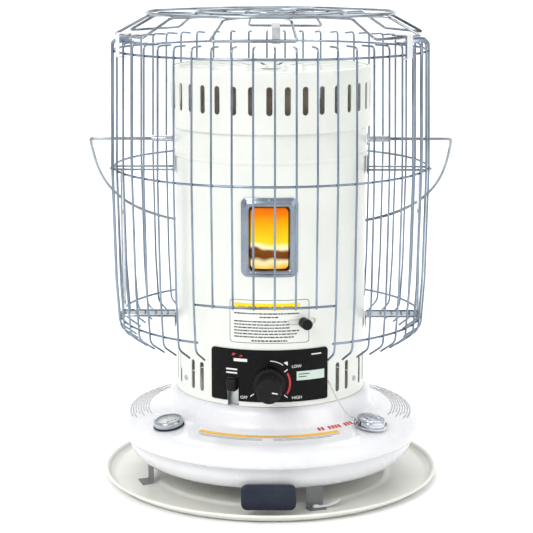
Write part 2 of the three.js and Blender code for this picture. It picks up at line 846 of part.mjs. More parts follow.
// The bail is a superellipse of wire whose ends turn in along the pivot axis.
function bailHandle() {
  const corner = 6;
  const steps = 26;
  const turn = new THREE.Quaternion().setFromAxisAngle(new THREE.Vector3(1, 0, 0), degToRad(-BAIL_DROOP));
  const loop = [];
  for (let i = 0; i <= steps; i++) {
    const angle = (Math.PI * i) / steps;
    const [c, s] = [Math.cos(angle), Math.sin(angle)];
    const x = Math.sign(c) * Math.abs(c) ** (2 / 3) * BAIL_HALF_WIDTH;
    loop.push([x, Math.max(s, 0) ** (2 / 3) * BAIL_REACH]);
  }
  const arc = loop.filter(([, reach]) => reach > corner);
  const path = [
    [150, 0],
    [BAIL_HALF_WIDTH - corner, 0],
    [BAIL_HALF_WIDTH - 1.7, 1.8],
    [BAIL_HALF_WIDTH, corner],
    ...arc,
    [-BAIL_HALF_WIDTH, corner],
    [1.7 - BAIL_HALF_WIDTH, 1.8],
    [corner - BAIL_HALF_WIDTH, 0],
    [-150, 0],
  ].map(([x, reach]) => new THREE.Vector3(x, reach, 0).applyQuaternion(turn));
  piece("bail_handle", wire(path, BAIL_WIRE, 6).translate(0, 0, BAIL_PIVOT_HEIGHT), "chrome");

  for (const [side, label] of [[1, "right"], [-1, "left"]]) {
    const along = (x) => [side * x, 0, BAIL_PIVOT_HEIGHT];
    const sleeve = joined(bar(along(132.4), along(168), 5, 14), bar(along(132.4), along(134.4), 9, 14));
    piece(`bail_bracket_${label}`, cut(sleeve, bar(along(140), along(169), 3, 12)), "zincSteel");
  }
}

dripTray();
tank();
filler();
capChain();
fuelGauge();
ignitionLever();
casing();
collar();
window();
controls();
burner();
igniter();
tipSwitch();
batteryCase();
guard();
topGrille();
sideFrame(1, "right");
sideFrame(-1, "left");
bailHandle();

export default heater;
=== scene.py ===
import math
import random

import bmesh
import bpy
from mathutils import Matrix, Vector


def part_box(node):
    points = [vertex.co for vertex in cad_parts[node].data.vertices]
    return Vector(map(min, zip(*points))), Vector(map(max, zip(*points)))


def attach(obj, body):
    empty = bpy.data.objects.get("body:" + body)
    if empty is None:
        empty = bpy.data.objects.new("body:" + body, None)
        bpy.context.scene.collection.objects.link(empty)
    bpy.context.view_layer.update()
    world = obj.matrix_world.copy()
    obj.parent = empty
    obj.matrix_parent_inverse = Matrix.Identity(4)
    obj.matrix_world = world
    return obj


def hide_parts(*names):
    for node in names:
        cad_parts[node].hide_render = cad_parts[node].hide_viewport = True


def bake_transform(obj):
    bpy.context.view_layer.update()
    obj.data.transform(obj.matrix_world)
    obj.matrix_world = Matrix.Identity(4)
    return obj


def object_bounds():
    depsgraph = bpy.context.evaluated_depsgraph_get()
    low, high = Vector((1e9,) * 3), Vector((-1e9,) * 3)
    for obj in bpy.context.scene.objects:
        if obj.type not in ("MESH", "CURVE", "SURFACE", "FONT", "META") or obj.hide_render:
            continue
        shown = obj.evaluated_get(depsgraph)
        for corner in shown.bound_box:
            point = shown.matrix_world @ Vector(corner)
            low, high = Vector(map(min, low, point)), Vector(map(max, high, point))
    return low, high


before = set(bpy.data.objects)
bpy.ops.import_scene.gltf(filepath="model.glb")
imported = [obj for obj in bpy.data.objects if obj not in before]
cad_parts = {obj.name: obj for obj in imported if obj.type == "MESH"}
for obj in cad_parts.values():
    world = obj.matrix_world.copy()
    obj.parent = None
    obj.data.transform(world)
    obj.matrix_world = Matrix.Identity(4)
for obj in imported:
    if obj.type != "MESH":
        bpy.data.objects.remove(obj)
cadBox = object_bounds()
mm = 0.001
floorHeight = cadBox[0][2]


# Camera, light and floor.

studio = {
    "eye": (0.0258, -2.3, 0.7408),
    "aim": (-0.0056, 0.0, 0.2957),
    "lens": 113.1,
    "skyTop": 1.05,
    "skySide": 0.32,
    "floor": 4.6,
    "bend": 1.4,
}


def lookAt(thing, target):
    thing.rotation_euler = (Vector(target) - thing.location).to_track_quat("-Z", "Y").to_euler()


def addLamp(name, place, target, size, watts, tint=(1, 1, 1)):
    lamp = bpy.data.objects.new(name, bpy.data.lights.new(name, "AREA"))
    lamp.data.shape, lamp.data.size, lamp.data.energy, lamp.data.color = "SQUARE", size, watts, tint
    lamp.location = place
    bpy.context.scene.collection.objects.link(lamp)
    lookAt(lamp, target)


def setStudio():
    scene = bpy.context.scene
    camera = bpy.data.objects.new("camera", bpy.data.cameras.new("camera"))
    camera.data.lens, camera.data.sensor_width = studio["lens"], 36
    camera.data.clip_end = 50
    camera.location = studio["eye"]
    scene.collection.objects.link(camera)
    lookAt(camera, studio["aim"])
    scene.camera = camera

    world = bpy.data.worlds.new("studio")
    scene.world = world
    world.use_nodes = True
    # The room is bright overhead and dimmer near the horizon.
    tree = world.node_tree
    sky = tree.nodes["Background"]
    spot, split = tree.nodes.new("ShaderNodeTexCoord"), tree.nodes.new("ShaderNodeSeparateXYZ")
    fade = tree.nodes.new("ShaderNodeMapRange")
    fade.inputs["From Min"].default_value, fade.inputs["From Max"].default_value = -0.05, 0.7
    fade.inputs["To Min"].default_value = studio["skySide"]
    fade.inputs["To Max"].default_value = studio["skyTop"]
    tree.links.new(spot.outputs["Generated"], split.inputs["Vector"])
    tree.links.new(split.outputs["Z"], fade.inputs["Value"])
    tree.links.new(fade.outputs["Result"], sky.inputs["Strength"])
    sky.inputs["Color"].default_value = (1, 1, 1, 1)
    scene.view_settings.view_transform = "Standard"

    addLamp("keyLamp", (-1.5, -2.3, 2.2), (0, 0, 0.35), 1.3, 42)
    addLamp("fillLamp", (2.3, -1.4, 1.3), (0, 0, 0.35), 1.5, 9)
    addLamp("backLamp", (0, 2.6, 2.6), (0, 2.4, 0), 2.6, 60)

    # The floor is a wide shallow bowl that rises into a pale wall all round.
    flat, bend, turn = studio["floor"], studio["bend"], 0.157
    profile = [(0.001, 0), (flat, 0)]
    profile += [(flat + bend * math.sin(a * turn), bend - bend * math.cos(a * turn)) for a in range(1, 11)]
    profile.append((flat + bend, 2.0))
    sweep = bpy.data.meshes.new("floor")
    count, turns = len(profile), 64
    angles = [2 * math.pi * i / turns for i in range(turns)]
    verts = [(r * math.cos(a), r * math.sin(a), z + floorHeight - 0.0003) for a in angles for r, z in profile]
    faces = []
    for i in range(turns):
        a, b = i * count, ((i + 1) % turns) * count
        faces += [(a + k, b + k, b + k + 1, a + k + 1)[::-1] for k in range(count - 1)]
    sweep.from_pydata(verts, [], faces)
    for face in sweep.polygons:
        face.use_smooth = True
    ground = bpy.data.objects.new("floor", sweep)
    scene.collection.objects.link(ground)
    paint = bpy.data.materials.new("paleFloor")
    paint.use_nodes = True
    surface = paint.node_tree.nodes["Principled BSDF"]
    surface.inputs["Base Color"].default_value = (0.95, 0.95, 0.95, 1)
    surface.inputs["Roughness"].default_value = 0.9
    ground.data.materials.append(paint)


setStudio()
print("studio ready")


# Shape helpers, all in millimetres until a piece is made. joinWithin is in metres.

joinWithin = 2e-6


def around(radius, bearing, height):
    angle = math.radians(bearing)
    return Vector((radius * math.sin(angle), -radius * math.cos(angle), height))


def meshFrom(name, shape):
    verts, faces = shape
    mesh = bpy.data.meshes.new(name)
    mesh.from_pydata([tuple(Vector(v) * mm) for v in verts], [], faces)
    return mesh


def makePiece(name, shape, finish, body="root", stands=(), sharp=35):
    return finishPiece(name, meshFrom(name, shape), finish, body, stands, sharp)


# An editable copy of a mesh with doubled points joined and its faces turned outwards.
def cleaned(mesh):
    tidy = bmesh.new()
    tidy.from_mesh(mesh)
    bmesh.ops.remove_doubles(tidy, verts=tidy.verts, dist=joinWithin)
    bmesh.ops.dissolve_degenerate(tidy, dist=joinWithin / 2, edges=tidy.edges)
    bmesh.ops.recalc_face_normals(tidy, faces=tidy.faces)
    return tidy


def finishPiece(name, mesh, finish, body, stands, sharp=35):
    tidy = cleaned(mesh)
    for face in tidy.faces:
        face.smooth = True
    for edge in tidy.edges:
        edge.smooth = len(edge.link_faces) == 2 and edge.calc_face_angle(0) < math.radians(sharp)
    tidy.to_mesh(mesh)
    tidy.free()
    mesh.materials.clear()
    mesh.materials.append(finish)
    piece = bpy.data.objects.new(name, mesh)
    bpy.context.scene.collection.objects.link(piece)
    if body:
        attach(piece, body)
    if stands:
        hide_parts(*stands)
    return piece


def merged(*shapes):
    verts, faces = [], []
    for someVerts, someFaces in shapes:
        base = len(verts)
        verts += list(someVerts)
        faces += [tuple(i + base for i in face) for face in someFaces]
    return verts, faces


def moved(shape, matrix):
    return [matrix @ Vector(v) for v in shape[0]], shape[1]


# A line of points with each corner rounded.
def eased(line, radius, steps=5, closed=False):
    points = [Vector(p) for p in line]
    count = len(points)
    out = []
    for i, point in enumerate(points):
        if not closed and i in (0, count - 1):
            out.append(point)
            continue
        before, after = points[i - 1], points[(i + 1) % count]
        into, away = before - point, after - point
        reach = min(radius, into.length * 0.48, away.length * 0.48)
        a, b = point + into.normalized() * reach, point + away.normalized() * reach
        for k in range(steps + 1):
            t = k / steps
            out.append(a * (1 - t) ** 2 + point * 2 * t * (1 - t) + b * t * t)
    return out


# The outline of sheet that follows a line of (radius, height) points.
def sheetOutline(line, thickness):
    left, right = [], []
    last = len(line) - 1
    for i, (x, y) in enumerate(line):
        ahead = Vector(line[min(i + 1, last)]) - Vector((x, y))
        behind = Vector((x, y)) - Vector(line[max(i - 1, 0)])
        along = (ahead.normalized() + behind.normalized()).normalized()
        side = Vector((-along.y, along.x)) * thickness / 2
        left.append((x + side.x, y + side.y))
        right.append((x - side.x, y - side.y))
    return left + right[::-1]


# A closed outline turned about Z. swell(angle, radius, height) may change the radius.
def turned(outline, segments=144, swell=None, matrix=None):
    verts, faces = [], []
    count = len(outline)
    for i in range(segments):
        angle = 2 * math.pi * i / segments
        for radius, height in outline:
            r = swell(angle, radius, height) if swell else radius
            verts.append(Vector((r * math.sin(angle), -r * math.cos(angle), height)))
        for j in range(count):
            k = (j + 1) % count
            if outline[j][0] == 0 and outline[k][0] == 0:
                continue
            n = (i + 1) % segments
            faces.append((i * count + j, n * count + j, n * count + k, i * count + k))
    return moved((verts, faces), matrix) if matrix else (verts, faces)


def shellOf(line, thickness=1.2, ease=3, segments=144):
    return turned(sheetOutline([tuple(p) for p in eased(line, ease)], thickness), segments)


# A round wire through points, with rounded ends.
def tube(points, radius, sides=10, closed=False):
    points = [Vector(p) for p in points]
    count = len(points)
    rings = []
    normal = None
    for i, point in enumerate(points):
        after = points[(i + 1) % count] if closed or i < count - 1 else point
        before = points[i - 1] if closed or i > 0 else point
        along = (after - before).normalized()
        if normal is None:
            normal = along.orthogonal().normalized()
            if closed:
                normal = along.cross(Vector((0, 0, 1))).normalized()
        normal = (normal - along * normal.dot(along)).normalized()
        across = along.cross(normal)
        rings.append((point, along, normal, across, radius))
    if not closed:
        for end, way in ((0, -1), (-1, 1)):
            point, along, normal, across, _ = rings[end]
            caps = [
                (point + along * way * radius * reach, along, normal, across, radius * size)
                for reach, size in ((0.5, 0.86), (0.87, 0.5))
            ]
            rings = caps[::-1] + rings if end == 0 else rings + caps
    verts, faces = [], []
    for point, along, normal, across, size in rings:
        for k in range(sides):
            angle = 2 * math.pi * k / sides
            verts.append(point + (normal * math.cos(angle) + across * math.sin(angle)) * size)
    total = len(rings)
    for i in range(total if closed else total - 1):
        for k in range(sides):
            a, b = i * sides, ((i + 1) % total) * sides
            faces.append((a + k, a + (k + 1) % sides, b + (k + 1) % sides, b + k))
    if not closed:
        faces.append(tuple(range(sides))[::-1])
        faces.append(tuple(range((total - 1) * sides, total * sides)))
    return verts, faces


def ringWire(radius, height, wire, fromBearing=0, toBearing=360, step=3, sides=10):
    whole = toBearing - fromBearing >= 360
    count = max(2, round((toBearing - fromBearing) / step))
    spots = range(count) if whole else range(count + 1)
    points = [around(radius, fromBearing + (toBearing - fromBearing) * i / count, height) for i in spots]
    return tube(points, wire / 2, sides, closed=whole)


# A thin solid between two lines of (u, v) points. place(u, v, lift) puts a point on the surface.
def ribbon(left, right, place, thickness=0.16):
    count = len(left)
    verts = [place(u, v, lift) for lift in (0.03, thickness) for line in (left, right) for u, v in line]
    low, high = (0, count), (2 * count, 3 * count)
    faces = []
    for i in range(count - 1):
        faces += [
            (high[0] + i, high[0] + i + 1, high[1] + i + 1, high[1] + i),
            (low[0] + i + 1, low[0] + i, low[1] + i, low[1] + i + 1),
            (low[0] + i, low[0] + i + 1, high[0] + i + 1, high[0] + i),
            (high[1] + i, high[1] + i + 1, low[1] + i + 1, low[1] + i),
        ]
    faces += [(low[0], high[0], high[1], low[1])]
    faces += [(low[0] + count - 1, low[1] + count - 1, high[1] + count - 1, high[0] + count - 1)]
    return verts, faces


def band(u0, u1, v0, v1, place, steps=24, thickness=0.16):
    across = [u0 + (u1 - u0) * i / steps for i in range(steps + 1)]
    return ribbon([(u, v0) for u in across], [(u, v1) for u in across], place, thickness)


# Loops of equal numbers of points joined in order into a closed solid or, with caps, a plate.
def lofted(loops, caps=False):
    count = len(loops[0])
    verts = [v for loop in loops for v in loop]
    faces = []
    for i in range(len(loops) if not caps else len(loops) - 1):
        a, b = i * count, ((i + 1) % len(loops)) * count
        faces += [(a + k, a + (k + 1) % count, b + (k + 1) % count, b + k) for k in range(count)]
    if caps:
        faces += [tuple(range(count))[::-1], tuple(range((len(loops) - 1) * count, len(loops) * count))]
    return verts, faces


def roundedRect(half, low, high, corner, cornerSteps=7, sideSteps=8):
    centres = (
        (half - corner, low + corner, -90),
        (half - corner, high - corner, 0),
        (corner - half, high - corner, 90),
        (corner - half, low + corner, 180),
    )
    spots = []
    for cx, cy, start in centres:
        for i in range(cornerSteps + 1):
            angle = math.radians(start + 90 * i / cornerSteps)
            spots.append((cx + corner * math.cos(angle), cy + corner * math.sin(angle)))
    out = []
    for i, (x, y) in enumerate(spots):
        nextX, nextY = spots[(i + 1) % len(spots)]
        steps = sideSteps if i % (cornerSteps + 1) == cornerSteps else 1
        out += [(x + (nextX - x) * k / steps, y + (nextY - y) * k / steps) for k in range(steps)]
    return out


# A stadium-shaped punch that faces outwards at a bearing.
def punch(width, heights, radii, bearing, corner=None):
    corner = width / 2 if corner is None else corner
    outline = roundedRect(width / 2, heights[0], heights[1], corner, 6, 1)
    loops = [[Vector((u, -radius, v)) for u, v in outline] for radius in radii]
    return moved(lofted(loops, caps=True), Matrix.Rotation(math.radians(bearing), 4, "Z"))


def applied(thing):
    bpy.context.view_layer.update()
    ready = bpy.data.meshes.new_from_object(thing.evaluated_get(bpy.context.evaluated_depsgraph_get()))
    bpy.data.objects.remove(thing)
    return ready


def loose(name, shape):
    mesh = meshFrom(name, shape)
    tidy = cleaned(mesh)
    tidy.to_mesh(mesh)
    tidy.free()
    thing = bpy.data.objects.new(name, mesh)
    bpy.context.scene.collection.objects.link(thing)
    return thing


def punchedPiece(name, shape, punches, finish, body="root", stands=(), sharp=35):
    blank, tool = loose(name + "Blank", shape), loose(name + "Tool", merged(*punches))
    cutter = blank.modifiers.new("cut", "BOOLEAN")
    cutter.object, cutter.operation, cutter.solver = tool, "DIFFERENCE", "EXACT"
    mesh = applied(blank)
    bpy.data.objects.remove(tool)
    return finishPiece(name, mesh, finish, body, stands, sharp)


# A copy of a CAD node with its edges rounded.
def softened(name, node, finish, width=0.35, body="root", segments=2):
    copy = bpy.data.objects.new(name + "Blank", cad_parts[node].data.copy())
    bpy.context.scene.collection.objects.link(copy)
    tidy = bmesh.new()
    tidy.from_mesh(copy.data)
    bmesh.ops.remove_doubles(tidy, verts=tidy.verts, dist=joinWithin)
    bmesh.ops.dissolve_limit(tidy, angle_limit=0.02, verts=tidy.verts, edges=tidy.edges)
    tidy.to_mesh(copy.data)
    tidy.free()
    rounding = copy.modifiers.new("round", "BEVEL")
    rounding.width, rounding.segments, rounding.limit_method = width * mm, segments, "ANGLE"
    rounding.angle_limit = math.radians(40)
    return finishPiece(name, applied(copy), finish, body, (node,), 50)


# Finishes.

# Each finish: colour, a second shade (worn or dusty on most finishes, painted dark reflection on
# brightChrome, barChrome and the guard wire finish), roughness, metal, grain size in 1/m, bump depth, coat.
finishes = {
    "tankWhite": ((0.76, 0.765, 0.785), (0.70, 0.705, 0.73), 0.24, 0, 700, 0.03, 0.5),
    "casingCream": ((0.77, 0.79, 0.74), (0.72, 0.74, 0.69), 0.30, 0, 650, 0.04, 0.4),
    "trayIvory": ((0.78, 0.78, 0.72), (0.72, 0.72, 0.66), 0.32, 0, 600, 0.05, 0.3),
    "zinc": ((0.50, 0.53, 0.53), (0.36, 0.39, 0.39), 0.36, 1, 900, 0.05, 0),
    # The guard wire's dark blue-grey colour and its darker second shade are painted reflection of a dark
    # room.
    "wirePaintedReflection": ((0.26, 0.32, 0.40), (0.10, 0.13, 0.18), 0.17, 1, 1400, 0.04, 0),
    # The darker second shade of bright chrome is painted reflection contrast.
    "brightChrome": ((0.60, 0.63, 0.67), (0.28, 0.31, 0.35), 0.07, 1, 1200, 0.02, 0),
    # Bar chrome's dark colour and its near-black patches are painted reflection of a dark room.
    "barChrome": ((0.34, 0.38, 0.42), (0.05, 0.06, 0.08), 0.12, 1, 1200, 0.02, 0),
    # The legs are painted darker to stand for the shade under the tank.
    "legSteelPaintedShade": ((0.24, 0.26, 0.26), (0.14, 0.15, 0.15), 0.45, 0.6, 900, 0.05, 0),
    "satinBlack": ((0.010, 0.010, 0.011), (0.020, 0.020, 0.022), 0.42, 0, 2600, 0.10, 0),
    "navyMoulded": ((0.020, 0.025, 0.042), (0.030, 0.036, 0.055), 0.46, 0, 2400, 0.12, 0),
    "panelGloss": ((0.0015, 0.0015, 0.002), (0.003, 0.003, 0.004), 0.26, 0, 1500, 0.02, 0),
    "dialWhite": ((0.80, 0.80, 0.75), (0.74, 0.74, 0.68), 0.5, 0, 1800, 0.03, 0),
    "printWhite": ((0.82, 0.83, 0.83), (0.70, 0.71, 0.71), 0.5, 0, 2200, 0.03, 0),
    "printGrey": ((0.24, 0.25, 0.27), (0.34, 0.35, 0.37), 0.55, 0, 2200, 0.03, 0),
    "printDark": ((0.04, 0.04, 0.05), (0.08, 0.08, 0.09), 0.5, 0, 2200, 0.03, 0),
    "printYellow": ((0.88, 0.48, 0.03), (0.82, 0.44, 0.02), 0.4, 0, 2000, 0.03, 0),
    "labelYellow": ((0.92, 0.66, 0.00), (0.88, 0.60, 0.00), 0.4, 0, 2000, 0.03, 0),
    "frameSteel": ((0.30, 0.34, 0.40), (0.17, 0.20, 0.25), 0.2, 1, 1200, 0.03, 0),
    "printRed": ((0.60, 0.02, 0.02), (0.50, 0.01, 0.02), 0.4, 0, 2000, 0.03, 0),
    "mintStrip": ((0.56, 0.68, 0.60), (0.48, 0.60, 0.52), 0.35, 0, 1500, 0.03, 0.2),
    "heatSteel": ((0.42, 0.36, 0.30), (0.25, 0.22, 0.24), 0.34, 1, 500, 0.06, 0),
    "wickFibre": ((0.66, 0.62, 0.52), (0.20, 0.17, 0.14), 0.95, 0, 900, 0.40, 0),
    "cellSleeve": ((0.45, 0.30, 0.06), (0.10, 0.10, 0.11), 0.34, 0.2, 300, 0.03, 0.2),
}


def link(tree, fromSocket, toSocket):
    tree.links.new(fromSocket, toSocket)


def newPaint(name):
    paint = bpy.data.materials.new(name)
    paint.use_nodes = True
    return paint, paint.node_tree, paint.node_tree.nodes["Principled BSDF"]


def addNode(tree, kind, values=()):
    node = tree.nodes.new("ShaderNode" + kind)
    for key, value in dict(values).items():
        node.inputs[key].default_value = value
    return node


def makeFinish(name):
    colour, shade, rough, metal, grain, depth, coat = finishes[name]
    paint, tree, surface = newPaint(name)
    surface.inputs["Metallic"].default_value = metal
    surface.inputs["Specular IOR Level"].default_value = 0.14 if max(colour) < 0.05 else 0.5
    surface.inputs["Coat Weight"].default_value = coat
    surface.inputs["Coat Roughness"].default_value = 0.08
    spot = addNode(tree, "TexCoord")

    # Broad, uneven patches of a second shade, which on the chrome and wire finishes is painted reflection.
    cloud = addNode(tree, "TexNoise", {"Scale": 14, "Detail": 6})
    spread = addNode(tree, "MapRange", {"From Min": 0.45, "From Max": 0.75})
    blendNode = addNode(tree, "Mix")
    blendNode.data_type = "RGBA"
    blendNode.inputs[6].default_value = (*colour, 1)
    blendNode.inputs[7].default_value = (*shade, 1)
    link(tree, spot.outputs["Object"], cloud.inputs["Vector"])
    link(tree, cloud.outputs["Fac"], spread.inputs["Value"])
    link(tree, spread.outputs["Result"], blendNode.inputs[0])
    link(tree, blendNode.outputs[2], surface.inputs["Base Color"])

    # Fine grain drives the bump, and a coarser one the gloss.
    fine = addNode(tree, "TexNoise", {"Scale": grain, "Detail": 3})
    bump = addNode(tree, "Bump", {"Strength": min(1, depth * 3), "Distance": 0.0002})
    link(tree, spot.outputs["Object"], fine.inputs["Vector"])
    link(tree, fine.outputs["Fac"], bump.inputs["Height"])
    link(tree, bump.outputs["Normal"], surface.inputs["Normal"])
    smear = addNode(tree, "TexNoise", {"Scale": 45, "Detail": 5})
    gloss = addNode(tree, "MapRange", {"To Min": rough * 0.75, "To Max": rough * 1.35})
    link(tree, spot.outputs["Object"], smear.inputs["Vector"])
    link(tree, smear.outputs["Fac"], gloss.inputs["Value"])
    link(tree, gloss.outputs["Result"], surface.inputs["Roughness"])
    return paint


paints = {name: makeFinish(name) for name in finishes}


def clearPaint(name, tint, alpha, rough):
    paint, tree, surface = newPaint(name)
    surface.inputs["Base Color"].default_value = (*tint, 1)
    surface.inputs["Alpha"].default_value = alpha
    surface.inputs["Specular IOR Level"].default_value = 0.08
    spot = addNode(tree, "TexCoord")
    smear = addNode(tree, "TexNoise", {"Scale": 60})
    gloss = addNode(tree, "MapRange", {"To Min": rough * 0.6, "To Max": rough * 1.6})
    link(tree, spot.outputs["Object"], smear.inputs["Vector"])
    link(tree, smear.outputs["Fac"], gloss.inputs["Value"])
    link(tree, gloss.outputs["Result"], surface.inputs["Roughness"])
    return paint


paints["clearGlass"] = clearPaint("clearGlass", (0.93, 0.97, 0.97), 0.22, 0.05)
paints["mica"] = clearPaint("mica", (0.35, 0.16, 0.03), 0.03, 0.45)

# Heights in millimetres, ripple and lift in metres, and the colours from the lower edge to the top.
flame = {
    "low": 312,
    "high": 404,
    "ripple": 0.014,
    "lift": 0.008,
    "glow": 1.1,
    "colours": (
        (0.00, (0.90, 0.22, 0.01)),
        (0.05, (1.00, 0.60, 0.08)),
        (0.13, (1.00, 0.88, 0.50)),
        (0.18, (0.14, 0.035, 0.004)),
        (0.29, (0.20, 0.055, 0.006)),
        (0.335, (1.00, 0.92, 0.62)),
        (0.37, (1.00, 0.94, 0.45)),
        (0.42, (1.00, 0.74, 0.02)),
        (0.62, (1.00, 0.50, 0.00)),
        (0.85, (0.95, 0.20, 0.00)),
        (1.00, (0.70, 0.09, 0.00)),
    ),
}


def flamePaint():
    paint, tree, surface = newPaint("flameGlow")
    spot = addNode(tree, "TexCoord")
    split = addNode(tree, "SeparateXYZ")
    wave = addNode(tree, "TexNoise", {"Scale": 38, "Detail": 1})
    shift = addNode(tree, "Math", {1: flame["ripple"]})
    shift.operation = "MULTIPLY_ADD"
    # The noise lifts every point by part of the ripple, so the colours start that much higher.
    low, high = (flame[edge] * mm + flame["lift"] for edge in ("low", "high"))
    height = addNode(tree, "MapRange", {"From Min": low, "From Max": high})
    ramp = addNode(tree, "ValToRGB")
    stops = ramp.color_ramp.elements
    while len(stops) < len(flame["colours"]):
        stops.new(0.5)
    for stop, (place, colour) in zip(stops, flame["colours"]):
        stop.position, stop.color = place, (*colour, 1)
    link(tree, spot.outputs["Object"], split.inputs["Vector"])
    link(tree, spot.outputs["Object"], wave.inputs["Vector"])
    link(tree, wave.outputs["Fac"], shift.inputs[0])
    link(tree, split.outputs["Z"], shift.inputs[2])
    link(tree, shift.outputs["Value"], height.inputs["Value"])
    link(tree, height.outputs["Result"], ramp.inputs["Fac"])
    surface.inputs["Base Color"].default_value = (0.02, 0.008, 0.002, 1)
    surface.inputs["Specular IOR Level"].default_value = 0.1
    link(tree, ramp.outputs["Color"], surface.inputs["Emission Color"])
    surface.inputs["Emission Strength"].default_value = flame["glow"]
    surface.inputs["Roughness"].default_value = 0.6
    return paint


paints["flameGlow"] = flamePaint()
print("finishes ready")


# The filler cap's chain.

chain = {
    "diameter": 2.0,
    "bead": 2.6,
    "route": (
        (79.2, -107.2, 160), (83.4, -110.0, 151), (87.8, -112.7, 142.4), (92.3, -115.4, 134.3),
        (97.2, -118.0, 126.8), (102.5, -120.5, 120.1), (108.4, -122.8, 114.9), (117.4, -126.0, 111.2),
    ),
}


# A smooth line through points, spaced evenly.
def smoothLine(points, step):
    points = [Vector(p) for p in points]
    padded = [points[0] * 2 - points[1]] + points + [points[-1] * 2 - points[-2]]
    dense = []
    for i in range(1, len(padded) - 2):
        a, b, c, d = padded[i - 1 : i + 3]
        for k in range(24):
            t = k / 24
            square, cube = 2 * a - 5 * b + 4 * c - d, 3 * b - a - 3 * c + d
            dense.append(0.5 * (2 * b + (c - a) * t + square * t**2 + cube * t**3))
    dense.append(points[-1])
    total = sum((q - p).length for p, q in zip(dense, dense[1:]))
    count = max(2, round(total / step))
    out, walked, target = [dense[0]], 0.0, total / count
    for p, q in zip(dense, dense[1:]):
        stretch = (q - p).length
        while stretch > 0 and walked + stretch >= target - 1e-6 and len(out) < count:
            out.append(p.lerp(q, (target - walked) / stretch))
            target += total / count
        walked += stretch
    out.append(dense[-1])
    return out, total


def makeChain():
    line, length = smoothLine(chain["route"], chain["bead"] / 6)
    radius = chain["diameter"] / 2
    verts, faces = [], []
    sides = 8
    for i, point in enumerate(line):
        along = (line[min(i + 1, len(line) - 1)] - line[max(i - 1, 0)]).normalized()
        normal = (Vector((0, 0, 1)) - along * along.z).normalized()
        across = along.cross(normal)
        size = radius * (0.34 + 0.66 * abs(math.sin(math.pi * i / 6)) ** 0.6)
        for k in range(sides):
            angle = 2 * math.pi * k / sides
            verts.append(point + (normal * math.cos(angle) + across * math.sin(angle)) * size)
    for i in range(len(line) - 1):
        for k in range(sides):
            a, b = i * sides, (i + 1) * sides
            faces.append((a + k, a + (k + 1) % sides, b + (k + 1) % sides, b + k))
    faces += [tuple(range(sides))[::-1], tuple(range((len(line) - 1) * sides, len(line) * sides))]
    links = makePiece("capChain", (verts, faces), paints["brightChrome"], None, ("cap_chain",), 80)
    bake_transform(links)
    [tuple(p * mm) for p in line]
    print("chain length", round(length, 1), "mm")


makeChain()


# Drip tray.

tray = {"wall": 1.2, "beadRadius": 232.7, "beadHeight": 10.1, "bead": 2.1}


def makeTray():
    line = [(0, 3.6), (163.8, 3.6), (170.4, 0.6), (221.8, 0.6), (228, 5.2), (230.2, 10.2), (232.4, 11.6)]
    outline = sheetOutline([tuple(p) for p in eased(line, 4)], tray["wall"])
    makePiece(
        "trayDish", turned(outline, 180), paints["trayIvory"], stands=("drip_tray",)
    )
    # The rim is rolled over into a bead.
    middle, height, size = tray["beadRadius"], tray["beadHeight"], tray["bead"]
    turns = [a * math.pi / 7 for a in range(14)]
    bead = [(middle + size * math.cos(a), height + size * math.sin(a)) for a in turns]
    makePiece("trayRim", turned(bead, 180), paints["trayIvory"])


def makeLatch():
    # A flat stem that ends in a raised wing.
    turn = Matrix.Rotation(math.radians(20), 4, "Z")
    loops = []
    for i in range(21):
        t = i / 20
        x = -4.8 + 37.8 * t
        wing = max(0, (t - 0.45) / 0.55)
        half = 3.8 + 1.2 * math.sin(math.pi * min(1, wing)) if wing else 3.8
        if t > 0.93:
            half *= math.sqrt(max(0.05, 1 - ((t - 0.93) / 0.075) ** 2))
        if t < 0.08:
            half *= math.sqrt(max(0.05, 1 - ((0.08 - t) / 0.085) ** 2))
        lift = 4.1 + 6.5 * wing**1.3
        ring = [(-half, -0.7), (-half * 0.6, -0.9), (half * 0.6, -0.9), (half, -0.7)]
        ring += [(half, 0.5), (half * 0.6, 0.9), (-half * 0.6, 0.9), (-half, 0.5)]
        loops.append([Vector((x, -184 + y, lift + z)) for y, z in ring])
    wingShape = lofted(loops, caps=True)
    head = turned(
        [(0, 4.5), (4.4, 4.5), (4.3, 5.6), (3.2, 6.5), (0, 6.9)], 32,
        matrix=Matrix.Translation((0, -184, 0))
    )
    shape = moved(merged(wingShape, head), turn)
    makePiece("trayLatch", shape, paints["tankWhite"], "latch", ("tray_latch",), 45)


makeTray()
makeLatch()
print("tray done")


# Tank.

tank = {"floor": 31.9, "side": 199.4, "legWidth": 24, "legs": (20, 110, 200, 290)}
# Where the filler and the gauge stand on the cover, one to each side, and the radii of their holes.
seats = {"bearing": 50.8, "radius": 176, "height": 96.7, "slope": 9, "fillerHole": 16.6, "gaugeHole": 9.8}


